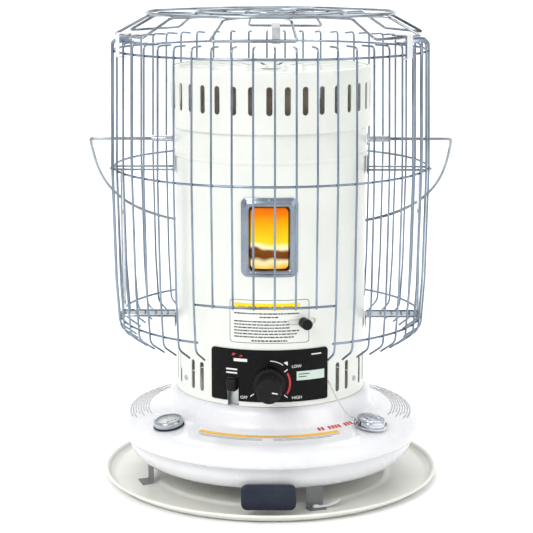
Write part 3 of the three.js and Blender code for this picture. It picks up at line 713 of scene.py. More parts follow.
# A strip of sheet bent along (radius, height) points, facing outwards at a bearing.
def bentStrip(line, thickness, width, bearing, ease=2.0):
    outline = sheetOutline([tuple(p) for p in eased(line, ease)], thickness)
    crown = min(0.35, thickness * 0.3)
    slices = [(-width / 2, crown), (-width / 2 + crown, 0), (width / 2 - crown, 0), (width / 2, crown)]
    count = len(outline)
    loops = []
    for y, shrink in slices:
        loop = []
        for i, (r, z) in enumerate(outline):
            twin = outline[count - 1 - i]
            middle = Vector(((r + twin[0]) / 2, (z + twin[1]) / 2))
            point = middle + (Vector((r, z)) - middle) * (1 - shrink / (thickness / 2))
            loop.append(Vector((point.x, y, point.y)))
        loops.append(loop)
    faces = []
    for i in range(len(loops) - 1):
        a, b = i * count, (i + 1) * count
        faces += [(a + k, a + (k + 1) % count, b + (k + 1) % count, b + k) for k in range(count)]
    half = count // 2
    for base, way in ((0, 1), ((len(loops) - 1) * count, -1)):
        for k in range(half - 1):
            face = (base + k, base + k + 1, base + count - 2 - k, base + count - 1 - k)
            faces.append(face[::way])
    shape = ([v for loop in loops for v in loop], faces)
    return moved(shape, Matrix.Rotation(math.radians(bearing - 90), 4, "Z"))


def makeTank():
    floor, side = tank["floor"], tank["side"]
    pan = [
        (36, floor), (178, floor), (186, floor + 1.4), (193.8, floor + 7.0), (198.2, floor + 14),
        (side, floor + 22), (side, 70)
    ]
    makePiece("tankPan", shellOf(pan, 1.2, 6), paints["tankWhite"], stands=("tank_pan",))
    draft = turned([(35.5, 31.3), (36.7, 31.3), (36.7, 180), (35.5, 180)], 64)
    makePiece("draftTube", draft, paints["zinc"])
    leg = [(165, 30.6), (176.75, 30.6), (176.75, 2.25), (192, 2.25)]
    legs = [bentStrip(leg, 1.5, tank["legWidth"], bearing) for bearing in tank["legs"]]
    # The legs take a finish painted dark for the shade under the tank.
    makePiece("tankLegs", merged(*legs), paints["legSteelPaintedShade"])

    cover = [
        (46, 127.9), (132.6, 127.9), (139.3, 123.6), (142.9, 113.8), (147.4, 101.9), (157.8, 98.8),
        (195.9, 92.8), (207.5, 87.2), (213.0, 79.0), (212.8, 66.2), (202, 65.4),
    ]
    punches = []
    for way, hole in ((1, seats["fillerHole"]), (-1, seats["gaugeHole"])):
        place = Matrix.Translation(around(seats["radius"], way * seats["bearing"], 0))
        punches.append(turned([(0, 80), (hole, 80), (hole, 112), (0, 112)], 48, matrix=place))
    punchedPiece(
        "tankCover", shellOf(cover, 1.2, 5.5, 180), punches, paints["tankWhite"],
        stands=("tank_cover",),
    )


makeTank()
print("tank done")


# Filler and gauge, which stand square on the cover's slope.


def seatAt(bearing):
    place = Matrix.Translation(around(seats["radius"], bearing, seats["height"]))
    slope = Matrix.Rotation(math.radians(seats["slope"]), 4, "X")
    return place @ Matrix.Rotation(math.radians(bearing), 4, "Z") @ slope


filler = {"seat": seatAt(seats["bearing"]), "lobes": 6, "lobe": 0.85, "lug": 77}


def makeFiller():
    seat = filler["seat"]
    neck = [
        (13.5, -22), (15.2, -22), (15.2, 0.7), (18.5, 0.7), (18.5, 1.9), (15.2, 1.9), (15.2, 8.6),
        (14.3, 9.1), (13.5, 8.6)
    ]
    makePiece(
        "fillerNeck", turned(neck, 64, matrix=seat), paints["zinc"],
        stands=("filler_neck",)
    )

    def lobed(angle, radius, height):
        if radius < 17:
            return radius
        return radius + filler["lobe"] * math.cos(filler["lobes"] * angle) * min(1, (radius - 16) / 4)

    outside = [
        (17.5, 2.4), (20.4, 2.4), (20.7, 3.2), (20.2, 4.2), (20.3, 10.0), (19.6, 11.7), (17.9, 12.9),
        (14.0, 13.3),
        (12.6, 13.2), (11.9, 12.4), (11.2, 12.2), (9.6, 12.2), (9.0, 12.6), (8.0, 13.7), (3.0, 13.9),
        (0, 13.9),
    ]
    inside = [(0, 11.6), (17.5, 11.6)]
    cap = turned(outside + inside, 144, lobed, seat)
    makePiece("fuelCap", cap, paints["brightChrome"], "cap", ("fuel_cap",), 40)

    rim = [(22.1, 2.5), (22.3, 2.4), (23.2, 2.4), (23.4, 3.6), (23.2, 5.3), (22.3, 5.4), (22.1, 5.2)]
    ring = turned(rim, 96, matrix=seat)
    lug = moved(
        lofted(
            [
                [Vector((x, 23.4 + y, z)) for x, y in ((-1.4, -0.6), (1.4, -0.6), (1.4, 0.6), (-1.4, 0.6))]
                for z in (3, 7, 11.7)
            ],
            True
        ),
        seat @ Matrix.Rotation(math.radians(filler["lug"]), 4, "Z"),
    )
    makePiece(
        "chainRing", merged(ring, lug), paints["brightChrome"], "cap_ring", ("chain_ring",), 40
    )


gauge = {"seat": seatAt(-seats["bearing"]), "marks": 9, "sweep": 60}


def makeGauge():
    seat, sweep = gauge["seat"], gauge["sweep"]
    gasket = [(10, 0.8), (20.9, 0.8), (21.3, 1.2), (21.3, 1.7), (20.9, 2.0), (10, 2.0)]
    makePiece(
        "gaugeGasket", turned(gasket, 96, matrix=seat), paints["satinBlack"],
        stands=("gauge_gasket",)
    )
    bezel = [
        (8.5, -36), (8.5, 2.3), (20.2, 2.3), (20.5, 2.8), (20.5, 7.6), (20.2, 9.0), (19.3, 10.3),
        (18.0, 11.0), (16.8, 11.0),
        (16.2, 10.6), (16.2, 9.9), (18.0, 9.3), (18.9, 8.4), (18.9, 3.5), (7.3, 3.5), (7.3, -36),
    ]
    makePiece(
        "gaugeBezel", turned(bezel, 96, matrix=seat), paints["brightChrome"],
        stands=("gauge_bezel",)
    )
    dial = [(1.2, 4.2), (18.3, 4.2), (18.3, 4.9), (1.2, 4.9)]
    makePiece(
        "gaugeDial", turned(dial, 96, matrix=seat), paints["dialWhite"],
        stands=("gauge_dial",)
    )
    marks = []

    def flat(u, v, lift):
        return seat @ Vector((v * math.sin(math.radians(u)), v * math.cos(math.radians(u)), 4.9 + lift))

    for i in range(gauge["marks"]):
        angle = -sweep + 2 * sweep * i / (gauge["marks"] - 1)
        inner = 12.2 if i % 4 == 0 else 13.8
        marks.append(
            ribbon(
                [(angle - 1.6, inner), (angle - 1.2, 16)], [(angle + 1.6, inner), (angle + 1.2, 16)], flat
            )
        )
    marks.append(band(-sweep, sweep, 10.4, 11.0, flat))
    makePiece("gaugeMarks", merged(*marks), paints["printDark"])
    makePiece("gaugeRedMark", band(-66, -48, 7.6, 9.8, flat, 8), paints["printRed"])

    blade = lofted(
        [
            [Vector((x * w, y, z)) for x, z in ((-1, 5.5), (1, 5.5), (1, 5.95), (-1, 5.95))]
            for y, w in ((-3, 0.9), (0, 1.1), (13, 0.35))
        ],
        True
    )
    hub = turned([(0, 5.1), (2.2, 5.1), (2.2, 6.0), (1.6, 6.5), (0, 6.6)], 32)
    needle = moved(merged(blade, hub), seat)
    makePiece("gaugeNeedle", needle, paints["printDark"], "needle", ("gauge_needle",))
    lens = [
        (0, 9.9), (5, 9.7), (9, 9.2), (12.5, 8.4), (15, 7.6), (17.2, 7), (18.5, 7), (18.5, 8), (16.4, 8.5),
        (12.5, 9.7), (9, 10.3), (5, 10.75), (0, 10.9),
    ]
    makePiece(
        "gaugeLens", turned(lens, 96, matrix=seat), paints["clearGlass"],
        stands=("gauge_lens",)
    )


makeFiller()
makeGauge()
print("filler and gauge done")


# Ignition lever.

pad = {"half": 36, "low": 12, "high": 45, "corner": 8, "back": 203, "front": 215, "ribs": 5}


def makePad():
    loops = []
    for inset, y in ((0.9, 0), (0, 1.0), (0, 8.4), (0.5, 10.2), (1.8, 11.4), (3.4, 11.9)):
        outline = roundedRect(
            pad["half"] - inset, pad["low"] + inset, pad["high"] - inset, pad["corner"] - inset * 0.7, 7, 6
        )
        loops.append([Vector((x, -pad["back"] - y, z)) for x, z in outline])
    body = lofted(loops, caps=True)
    ribs = []
    gap = (pad["high"] - pad["low"] - 14) / (pad["ribs"] - 1)
    for i in range(pad["ribs"]):
        z = pad["low"] + 7 + gap * i
        half = pad["half"] - 9
        ribs.append(
            tube(
                [Vector((x, -pad["front"] + 0.55, z)) for x in (-half, -half / 2, 0, half / 2, half)], 0.62,
                8
            )
        )
    makePiece(
        "ignitionPad", merged(body, *ribs), paints["navyMoulded"], "ignition",
        ("ignition_pad",), 40
    )


makePad()
softened("ignitionArm", "ignition_arm", paints["zinc"], 0.3, "ignition")
softened("ignitionBracket", "ignition_bracket", paints["zinc"], 0.25, "root")
print("ignition lever done")


# Casing, collar and top plate.

casing = {
    "radius": 131.0, "low": 129, "top": 500, "bead": 458.2,
    "slot": (7.6, 140.9, 181.8), "slotPitch": 8.3, "firstSlot": 44.5, "slots": 16, "screwSlots": (2, 9),
}
collar = {"radius": 136.7, "low": 495.6, "top": 576.4, "slots": 36, "slot": (8.1, 520.2, 557.6)}
leverSlot = {"bearing": -21.7, "half": 8.2, "top": 168.3, "corner": 3}
burnerSlot = {"bearing": 19.4, "width": 39, "heights": (241, 249), "corner": 4}
louvres = {"count": 24, "width": 5, "reach": (70, 122)}


def burnerPunch(radii):
    return punch(
        burnerSlot["width"], burnerSlot["heights"], radii, burnerSlot["bearing"], burnerSlot["corner"]
    )


def makeCasing():
    r, bead = casing["radius"], casing["bead"]
    side = [
        (r, casing["low"]), (r, 300), (r, bead - 3.6), (r + 1.9, bead - 1.3), (r + 1.9, bead + 1.3),
        (r, bead + 3.6), (r, casing["top"])
    ]
    radii = (120, 142)
    punches = [punch(60, (312, 404), radii, 0, 8)]
    punches.append(
        punch(
            2 * leverSlot["half"], (125, leverSlot["top"]), radii, leverSlot["bearing"], leverSlot["corner"]
        )
    )
    punches += [burnerPunch(radii), punch(10, (157, 167), radii, 0)]
    width, low, high = casing["slot"]
    for i in range(casing["slots"]):
        if i in casing["screwSlots"]:
            continue
        for way in (-1, 1):
            punches.append(
                punch(width, (low, high), radii, way * (casing["firstSlot"] + casing["slotPitch"] * i))
            )
    punchedPiece(
        "casingShell", shellOf(side, 1.2, 1.6, 180), punches, paints["casingCream"],
        stands=("casing",), sharp=28
    )

    r, low, top = collar["radius"], collar["low"], collar["top"]
    side = [(132.3, low), (r, low), (r, 540), (r, top - 0.4), (133.5, top)]
    width, low, high = collar["slot"]
    punches = [
        punch(width, (low, high), (128, 145), i * 360 / collar["slots"])
        for i in range(collar["slots"])
    ]
    punchedPiece(
        "casingCollar", shellOf(side, 1.2, 2.2, 180), punches, paints["casingCream"],
        stands=("casing_collar",), sharp=28
    )

    plate = [
        (14, 570), (18, 570), (22, 570.6), (66, 570.6), (124, 570.6), (127, 574.4), (132.6, 574.9),
        (132.6, 575.9), (126.4, 575.5), (123.4, 571.6), (22, 571.6), (18, 571.2), (14, 571.2)
    ]
    flat = Matrix.Rotation(math.radians(-90), 4, "X")
    pitch = 360 / louvres["count"]
    punches = []
    for i in range(louvres["count"]):
        turn = Matrix.Rotation(math.radians(pitch * (i + 0.5)), 4, "Z")
        punches.append(moved(punch(louvres["width"], louvres["reach"], (560, 580), 0), turn @ flat))
    punchedPiece(
        "topPlate", turned(plate, 144), punches, paints["casingCream"],
        stands=("top_plate",), sharp=28
    )


def makeScrews():
    heads = []
    head = [(0, 0), (3.6, 0), (3.6, 0.6), (2.9, 1.6), (1.2, 2.0), (1.2, 1.4), (0, 1.4)]
    places = [
        (way * (casing["firstSlot"] + casing["slotPitch"] * i), 152)
        for i in casing["screwSlots"]
        for way in (-1, 1)
    ]
    for bearing, height in places:
        turn = Matrix.Rotation(math.radians(bearing), 4, "Z") @ Matrix.Translation((0, -131.4, height))
        heads.append(turned(head, 24, matrix=turn @ Matrix.Rotation(math.radians(90), 4, "X")))
    makePiece("casingScrews", merged(*heads), paints["zinc"])


makeCasing()
makeScrews()
print("casing done")


# Flame window.

opening = {"half": 26.5, "low": 316, "high": 400}


# Puts flat (u, v) points on the casing's cylinder, with lift outwards.
def onCylinder(radius):
    def place(u, v, lift):
        angle = u / radius
        return Vector(((radius + lift) * math.sin(angle), -(radius + lift) * math.cos(angle), v))
    return place


def makeWindow():
    place = onCylinder(131.9)
    # Margins at the sides, top and bottom, corner radius and lift, from the frame's outer edge inwards.
    section = (
        (11.4, 12.6, 9.0, 9.0, 0), (11.4, 12.6, 9.0, 9.0, 0.9), (10.6, 11.8, 8.2, 8.6, 1.5),
        (8.2, 9.2, 6.6, 7.6, 1.6),
        (7.2, 7.8, 5.6, 6.8, 2.4), (4.8, 5.0, 4.0, 6.0, 3.9), (3.2, 3.2, 2.6, 5.2, 4.1),
        (1.4, 1.4, 1.2, 4.4, 3.2),
        (0.4, 0.4, 0.4, 4.0, 1.4), (0, 0, 0, 4.0, 0),
    )
    loops = []
    for side, top, low, corner, lift in section:
        outline = roundedRect(
            opening["half"] + side, opening["low"] - low, opening["high"] + top, corner, 7, 10
        )
        loops.append([place(u, v, lift) for u, v in outline])
    rivet = turned([(0, 0), (2.6, 0), (2.5, 0.7), (1.7, 1.4), (0, 1.7)], 24)
    top = Matrix.Translation((0, -133.6, opening["high"] + 9)) @ Matrix.Rotation(math.radians(90), 4, "X")
    makePiece(
        "windowFrame", merged(lofted(loops), moved(rivet, top)), paints["frameSteel"],
        stands=("window_frame",), sharp=50
    )

    inner = onCylinder(129.5)
    trim = []
    for side, lift in ((4.5, -0.6), (4.5, 0.0), (-1.4, 0.0), (-1.4, -0.6)):
        outline = roundedRect(opening["half"] + side, opening["low"] - side, opening["high"] + side, 6, 7, 10)
        trim.append([inner(u, v, lift) for u, v in outline])
    makePiece("windowSeal", lofted(trim), paints["satinBlack"])

    pane = [[], []]
    for i in range(25):
        u = -31 + 62 * i / 24
        pane[0].append((u, opening["low"] - 5))
        pane[1].append((u, opening["high"] + 5))
    makePiece(
        "windowMica", ribbon(pane[0], pane[1], onCylinder(128.3), 0.5), paints["mica"],
        stands=("window_mica",)
    )

    # The fire seen through the window.
    fire = []
    deep = onCylinder(121)
    rows, columns = 40, 30
    verts = []
    for j in range(rows + 1):
        for i in range(columns + 1):
            u, v = -33 + 66 * i / columns, flame["low"] - 5 + (flame["high"] - flame["low"] + 10) * j / rows
            dip = 1.6 * math.sin(u * 0.21) * math.sin(v * 0.16) + 2.2 * math.sin(v * 0.11)
            verts.append(deep(u, v, dip))
    for j in range(rows):
        for i in range(columns):
            a = j * (columns + 1) + i
            fire.append((a, a + 1, a + columns + 2, a + columns + 1))
    count = len(verts)
    back = [deep(-33 + 66 * (k % (columns + 1)) / columns, verts[k].z, -4) for k in range(count)]
    fire += [tuple(count + k for k in face[::-1]) for face in fire]
    edge = list(range(columns + 1))
    edge += [j * (columns + 1) + columns for j in range(1, rows + 1)]
    edge += [rows * (columns + 1) + i for i in range(columns - 1, -1, -1)]
    edge += [j * (columns + 1) for j in range(rows - 1, 0, -1)]
    fire += [(b, a, a + count, b + count) for a, b in zip(edge, edge[1:] + edge[:1])]
    makePiece("flameView", (verts + back, fire), paints["flameGlow"], sharp=60)


makeWindow()
print("window done")


# Controls.

panel = {"radius": 131.9, "angle": 36, "low": 136, "high": 207.5, "corner": 5}
knob = {"height": 162, "start": 134.6, "flutes": 24}


def makePanel():
    place = onCylinder(panel["radius"])
    reach = math.radians(panel["angle"]) * panel["radius"]
    slotMiddle = math.radians(leverSlot["bearing"]) * panel["radius"]
    slotHalf, slotTop, slotCorner = leverSlot["half"], leverSlot["top"], leverSlot["corner"]
    corner = panel["corner"]
    spots = sorted(
        [-reach + 2 * reach * i / 110 for i in range(111)]
        + [-reach + corner * (1 - math.cos(a * math.pi / 12)) for a in range(1, 6)]
        + [reach - corner * (1 - math.cos(a * math.pi / 12)) for a in range(1, 6)]
    )
    spots = [u for u in spots if abs(u - slotMiddle) > slotHalf]

    def rise(u):
        into = reach - abs(u)
        return 0 if into >= corner else corner - math.sqrt(max(0, corner**2 - (corner - into) ** 2))

    def lowAt(u, inSlot):
        if not inSlot:
            return panel["low"] + rise(u) * 0.3
        into = slotHalf - abs(u - slotMiddle)
        if into >= slotCorner:
            return slotTop
        return slotTop - slotCorner + math.sqrt(max(0, slotCorner**2 - (slotCorner - into) ** 2))

    left = [u for u in spots if u < slotMiddle]
    right = [u for u in spots if u > slotMiddle]
    inside = [slotMiddle - slotHalf + 2 * slotHalf * i / 24 for i in range(25)]
    line = [(u, False) for u in left + [slotMiddle - slotHalf]]
    line += [(u, True) for u in inside]
    line += [(u, False) for u in [slotMiddle + slotHalf] + right]
    lower = [(u, lowAt(u, inSlot)) for u, inSlot in line]
    upper = [(u, panel["high"] - rise(u)) for u, _ in line]
    makePiece(
        "controlPanel", ribbon(lower, upper, place, 1.3), paints["panelGloss"],
        stands=("control_panel",), sharp=40
    )


def tick(angle, inner, outer, width):
    a = math.radians(angle)
    way, side = Vector((math.sin(a), math.cos(a))), Vector((math.cos(a), -math.sin(a))) * width / 2
    middle = Vector((0, knob["height"]))
    ends = [middle + way * inner, middle + way * outer]
    return [tuple(p - side) for p in ends], [tuple(p + side) for p in ends]


def dialArc(start, end, inner, outer, steps=24):
    lines = ([], [])
    for i in range(steps + 1):
        a = math.radians(start + (end - start) * i / steps)
        for line, radius in zip(lines, (inner, outer)):
            line.append((radius * math.sin(a), knob["height"] + radius * math.cos(a)))
    return lines


def word(text, size, middle, place, lift=0.2):
    letters = bpy.data.objects.new("letters", bpy.data.curves.new("letters", "FONT"))
    letters.data.body, letters.data.size = text, size
    letters.data.align_x, letters.data.align_y = "CENTER", "CENTER"
    letters.data.extrude = 0.08
    bpy.context.scene.collection.objects.link(letters)
    bpy.context.view_layer.update()
    mesh = bpy.data.meshes.new_from_object(letters.evaluated_get(bpy.context.evaluated_depsgraph_get()))
    verts = [place(middle[0] + v.co.x, middle[1] + v.co.y, v.co.z + lift) for v in mesh.vertices]
    faces = [tuple(f.vertices) for f in mesh.polygons]
    bpy.data.objects.remove(letters)
    return verts, faces


def makePanelPrint():
    place = onCylinder(133.2)
    white = [
        ribbon(*tick(-125.5, 25.5, 31.5, 1.3), place), ribbon(*tick(52, 25.5, 31, 1.3), place),
        ribbon(*tick(129, 25.5, 31.5, 1.3), place)
    ]
    white.append(ribbon(*dialArc(2, 36, 30.6, 31.6), place))
    white.append(ribbon([(19.2, 190.5), (24.6, 186.4)], [(24.2, 192.2), (24.8, 186.6)], place))
    white.append(band(-58.5, -57.4, 148, 157, place, 2))
    white.append(ribbon([(-60.1, 157), (-58.0, 161)], [(-55.8, 157), (-57.9, 161)], place))
    # Plain bars stand where a printed heading would be.
    white += [band(-60, -44, 178.5, 180.6, place, 8), band(-60, -44, 173.6, 175.7, place, 8)]
    white += [band(-49, -30, 191, 195, place, 8), band(58, 73, 199, 200.6, place, 8)]
    white += [
        word("OFF", 5.8, (-34.6, 141.6), place), word("LOW", 5.8, (36.8, 184.6), place),
        word("HIGH", 5.8, (37.4, 141.6), place)
    ]
    makePiece("panelPrint", merged(*white), paints["printWhite"], sharp=40)
    red = [
        ribbon(*dialArc(60, 122, 26.6, 29.2), place),
        ribbon([(-52, 199), (-38, 197.5)], [(-50, 202.4), (-36, 199.2)], place)
    ]
    makePiece("panelRedPrint", merged(*red), paints["printRed"], sharp=40)
    strip = band(37, 78, 165.2, 177.6, place, 16)
    makePiece("panelStrip", strip, paints["mintStrip"])
    bars = [
        band(40, 55, 173.2, 174.4, onCylinder(133.36), 8), band(40, 51, 169.6, 170.8, onCylinder(133.36), 8)
    ]
    makePiece("stripBars", merged(*bars), paints["printDark"])


def makeKnob():
    face = Matrix.Translation((0, -knob["start"], knob["height"])) @ Matrix.Rotation(math.radians(90), 4, "X")

    def fluted(angle, radius, height):
        ripple = 0.5 + 0.5 * math.cos(knob["flutes"] * angle)
        if 18 < radius and height > 0.4:
            return radius - 0.8 * ripple**2
        if 15.5 < radius < 18 and 10 < height < 42:
            return radius - 0.45 * ripple**2
        return radius

    outline = [
        (3.4, 0), (20.6, 0), (21.4, 0.5), (21.7, 1.4), (21.7, 4.6), (21.0, 6.2), (19.4, 7.3), (17.9, 8.2),
        (17.5, 9.6), (17.3, 11),
        (16.9, 26), (16.7, 40), (16.5, 41.8), (15.9, 43.4), (14.8, 44.5), (13.4, 44.9), (12.6, 44.5),
        (12.0, 43.9), (0, 43.9), (0, 8), (3.4, 8),
    ]
    makePiece(
        "wickKnob", turned(outline, 240, fluted, face), paints["satinBlack"], "wick_control",
        ("wick_knob",), 50
    )
    pointerTurn = Matrix.Rotation(math.radians(-100), 4, "Z")
    bar = lofted(
        [
            [Vector((x * w, y, z)) for x, z in ((-1, 43.8), (1, 43.8), (0.8, 44.6), (-0.8, 44.6))]
            for y, w in ((4, 0.8), (11.6, 0.8))
        ],
        True
    )
    makePiece(
        "knobPointer", moved(bar, face @ pointerTurn), paints["printWhite"], "wick_control"
    )


def makeSmallKnobs():
    outwards = Matrix.Translation((0, -136, 245)) @ Matrix.Rotation(math.radians(90), 4, "X")
    turn = Matrix.Rotation(math.radians(burnerSlot["bearing"]), 4, "Z") @ outwards
    outline = [
        (2.9, 0), (6.6, 0), (7.1, 0.6), (7.1, 3), (7.25, 5), (7.3, 16), (7.0, 17.2), (6.0, 17.9), (0, 18),
        (0, 10), (2.9, 10)
    ]

    def knurl(angle, radius, height):
        if radius > 6.9 and 3.5 < height < 16.5:
            return radius - 0.28 * (0.5 + 0.5 * math.cos(20 * angle))
        return radius

    makePiece(
        "burnerKnob", turned(outline, 120, knurl, turn), paints["satinBlack"], "burner",
        ("burner_knob",), 45
    )

    # A curved shield rides behind the slot and keeps it closed.
    radius = 128.4
    middle = math.radians(burnerSlot["bearing"]) * radius
    shield = band(middle - 42, middle + 42, 235, 255, onCylinder(radius), 40, 1.0)
    makePiece("slotShield", shield, paints["casingCream"], "burner")

    # The shutoff lever: a rounded thumb piece with grip ridges.
    loops = []
    for inset, y in ((0.6, 130.2), (0, 130.8), (0, 138.6), (0.9, 140.6), (2.2, 141.6), (3.6, 141.9)):
        outline = roundedRect(7 - inset, 150 + inset, 167 - inset, 3 - inset * 0.3, 5, 4)
        loops.append([Vector((x, -y, z)) for x, z in outline])
    ridges = [tube([Vector((x, -141.6, z)) for x in (-4.4, 0, 4.4)], 0.55, 8) for z in (154.5, 158.5, 162.5)]
    tongue = lofted(
        [
            [Vector((x, -y, z)) for x, z in ((-3.5, 154), (3.5, 154), (3.5, 163), (-3.5, 163))]
            for y in (126.4, 130.5)
        ],
        True
    )
    lever = moved(
        merged(lofted(loops, True), tongue, *ridges),
        Matrix.Rotation(math.radians(leverSlot["bearing"]), 4, "Z")
    )
    makePiece("shutoffLever", lever, paints["satinBlack"], "shutoff", ("shutoff_lever",), 40)


makePanel()
makePanelPrint()
makeKnob()
makeSmallKnobs()
print("controls done")


# Printed bands, plain bars in place of wording.


# The cover's surface height at a radius.
def coverHeight(radius):
    steps = ((147.4, 102.6), (157.8, 99.45), (195.9, 93.45), (207.5, 87.5))
    for (r0, z0), (r1, z1) in zip(steps, steps[1:]):
        if radius <= r1:
            return z0 + (z1 - z0) * (radius - r0) / (r1 - r0)
    return steps[-1][1]


def onCover(u, v, lift):
    return around(v + lift * 0.15, u, coverHeight(v) + 0.12 + lift)


# A row of short bars of uneven length, like a line of small print.
def wordRow(start, end, height, tall, place):
    bars, u = [], start
    while u < end - 1.5:
        width = min(random.uniform(2.2, 6.5), end - u)
        bars.append(band(u, u + width, height, height + tall, place, 3))
        u += width + random.uniform(0.7, 1.2)
    return bars


def makeLabels():
    random.seed(7)
    place = onCylinder(131.6)
    frameLine = []
    for inset, lift in ((0, 0.03), (0, 0.16), (0.7, 0.16), (0.7, 0.03)):
        outline = roundedRect(54.5 - inset, 216.5 + inset, 275.5 - inset, 4 - inset * 0.5, 6, 12)
        frameLine.append([place(u, v, lift) for u, v in outline])
    # The printing breaks off where the burner knob's slot runs through it.
    gap = [burnerPunch((129, 134))]
    punchedPiece("labelOutline", lofted(frameLine), gap, paints["printDark"], sharp=40)
    makePiece("labelBand", band(-48, 41, 262, 271, place, 40), paints["labelYellow"])
    split = onCylinder(131.76)
    dashes = [band(-48 + 3.2 * i, -46.2 + 3.2 * i, 266, 266.9, split, 2) for i in range(2, 26) if i % 5]
    lines = wordRow(-48, 40, 256.0, 1.8, place) + wordRow(-13, 14, 251.4, 1.7, place)
    for k in range(6):
        lines += wordRow(-48, 27 if 3 > k > 0 else 40 - 3 * (k % 3), 245.2 - 4.2 * k, 1.7, place)
    lines += wordRow(-24, 24, 219.0, 2.0, place)
    punchedPiece("labelLines", merged(*dashes, *lines), gap, paints["printDark"])

    makePiece("coverBand", band(-34, 34, 163, 170, onCover, 60), paints["printYellow"])
    grey = [
        band(-33, -3, 173, 174, onCover, 30), band(2, 33, 173, 174, onCover, 30),
        band(-31, -3, 176.6, 177.6, onCover, 30)
    ]
    grey += [
        band(2, 28, 176.6, 177.6, onCover, 30), band(-11, -4, 165.6, 166.8, onCover, 12),
        band(-3, 8, 165.6, 167.4, onCover, 12)
    ]
    count = 9
    for way in (-1, 1):
        for k in range(8):
            start, end = 72 + (k % 3) * 3, 132 - (k % 4) * 4
            for i in range(count):
                a = start + (end - start) * i / count
                grey.append(
                    band(
                        way * a, way * (a + (end - start) / count * 0.82), 172 + 3.6 * k, 173.1 + 3.6 * k,
                        onCover, 5
                    )
                )
    makePiece("coverBars", merged(*grey), paints["printGrey"])
    red = [band(25 + 2 * i, 26.4 + 2 * i, 149.5, 157.4, onCover, 2) for i in range(11) if i not in (2, 7)]
    makePiece("coverRedMark", merged(*red), paints["printRed"])


makeLabels()
print("labels done")


# Wire guard.

guard = {
    "yaw": -1.5, "step": 7.2, "wire": 2.8, "ringWire": 3.2,
    "upright": ((192.5, 612), (215.5, 612), (218.5, 438.7), (215.5, 285), (211, 218.5), (188.5, 203)),
    "rings": {
        "upper": (213.1, 597.7), "middle": (215.6, 438.7), "control": (212.3, 282), "lower": (209.0, 231)
    },
}


def upright(bearing, line):
    path = [around(p[0], bearing, p[1]) for p in eased(line, 7, 5)]
    return tube(path, guard["wire"] / 2, 10)


def makeGuard():
    step = guard["step"]
    full = guard["upright"]
    # The middle uprights stop at the ring above the controls.
    short = full[:3] + ((215.4, 281),)
    corner = step * 3.5
    halves = {"guardFront": [], "guardRear": []}
    for i in range(25):
        if i == 12:
            continue
        for way in (-1, 1):
            line = short if i < 3 else full
            halves["guardFront" if i < 12 else "guardRear"].append(upright(way * (step * (i + 0.5)), line))
    for radius, height in (guard["rings"]["upper"], guard["rings"]["middle"]):
        halves["guardFront"].append(ringWire(radius, height, guard["ringWire"], -89.9, 89.9))
        halves["guardRear"].append(ringWire(radius, height, guard["ringWire"], 90.1, 269.9))
    radius, height = guard["rings"]["control"]
    halves["guardFront"].append(ringWire(radius, height, guard["ringWire"], -corner - 0.3, corner + 0.3))
    radius, height = guard["rings"]["lower"]
    halves["guardFront"] += [
        ringWire(radius, height, guard["ringWire"], corner - 0.3, 89.9),
        ringWire(radius, height, guard["ringWire"], -89.9, 0.3 - corner)
    ]
    halves["guardRear"].append(ringWire(radius, height, guard["ringWire"], 90.1, 269.9))
    stands = {
        "guardFront": ("guard_front", "guard_side_left", "guard_side_right"),
        "guardRear": ("guard_rear_side_left", "guard_rear_side_right", "guard_rear_left", "guard_rear_right"),
    }
    turn = Matrix.Rotation(math.radians(guard["yaw"]), 4, "Z")
    # The guard wires take a colour with painted dark reflection.
    for name, wires in halves.items():
        makePiece(
            name, moved(merged(*wires), turn), paints["wirePaintedReflection"], stands=stands[name],
            sharp=60
        )


grille = {
    "yaw": -5.4, "wire": 4.0, "rings": (34, 102, 169), "top": 648.0, "footRadius": 212, "footHeight": 620
}


def makeGrille():
    wires = [ringWire(radius, grille["top"], grille["wire"], step=4) for radius in grille["rings"]]
    foot, low, under = grille["footRadius"], grille["footHeight"], grille["top"] - 3.4
    # Each pair of spokes is one wire, bent down and across at the foot.
    for i in range(6):
        loop = grille["yaw"] + 60 * i
        path = []
        for turn in (-15, 15):
            a = loop + turn
            leg = [around(33, a, under), around(166, a, under), around(foot, a, low)]
            path += leg if turn < 0 else leg[::-1]
        wires.append(tube(eased(path, 6, 5), grille["wire"] / 2 - 0.15, 10))
    makePiece(
        "topGrille", merged(*wires), paints["barChrome"], stands=("top_grille",), sharp=60
    )

    clip = [(200.7, 617), (200.7, 623.9), (218.6, 623.9), (218.6, 592.7), (209, 592.7)]
    for name, bearing in (("left", -64.8), ("right", 57.6), ("rear", 180)):
        shape = bentStrip(clip, 1.3, 13, bearing + guard["yaw"], 2.4)
        makePiece(
            "topClip" + name.title(), shape, paints["tankWhite"],
            stands=("top_clip_" + name,)
        )


makeGuard()
makeGrille()
print("guard done")


# Side frames and bail.

sides = {"stayHeight": 434.6, "stayWire": 3.0}
bail = {"pivot": 475.4, "half": 249, "reach": 272, "wire": 4.5, "droop": 35.5}


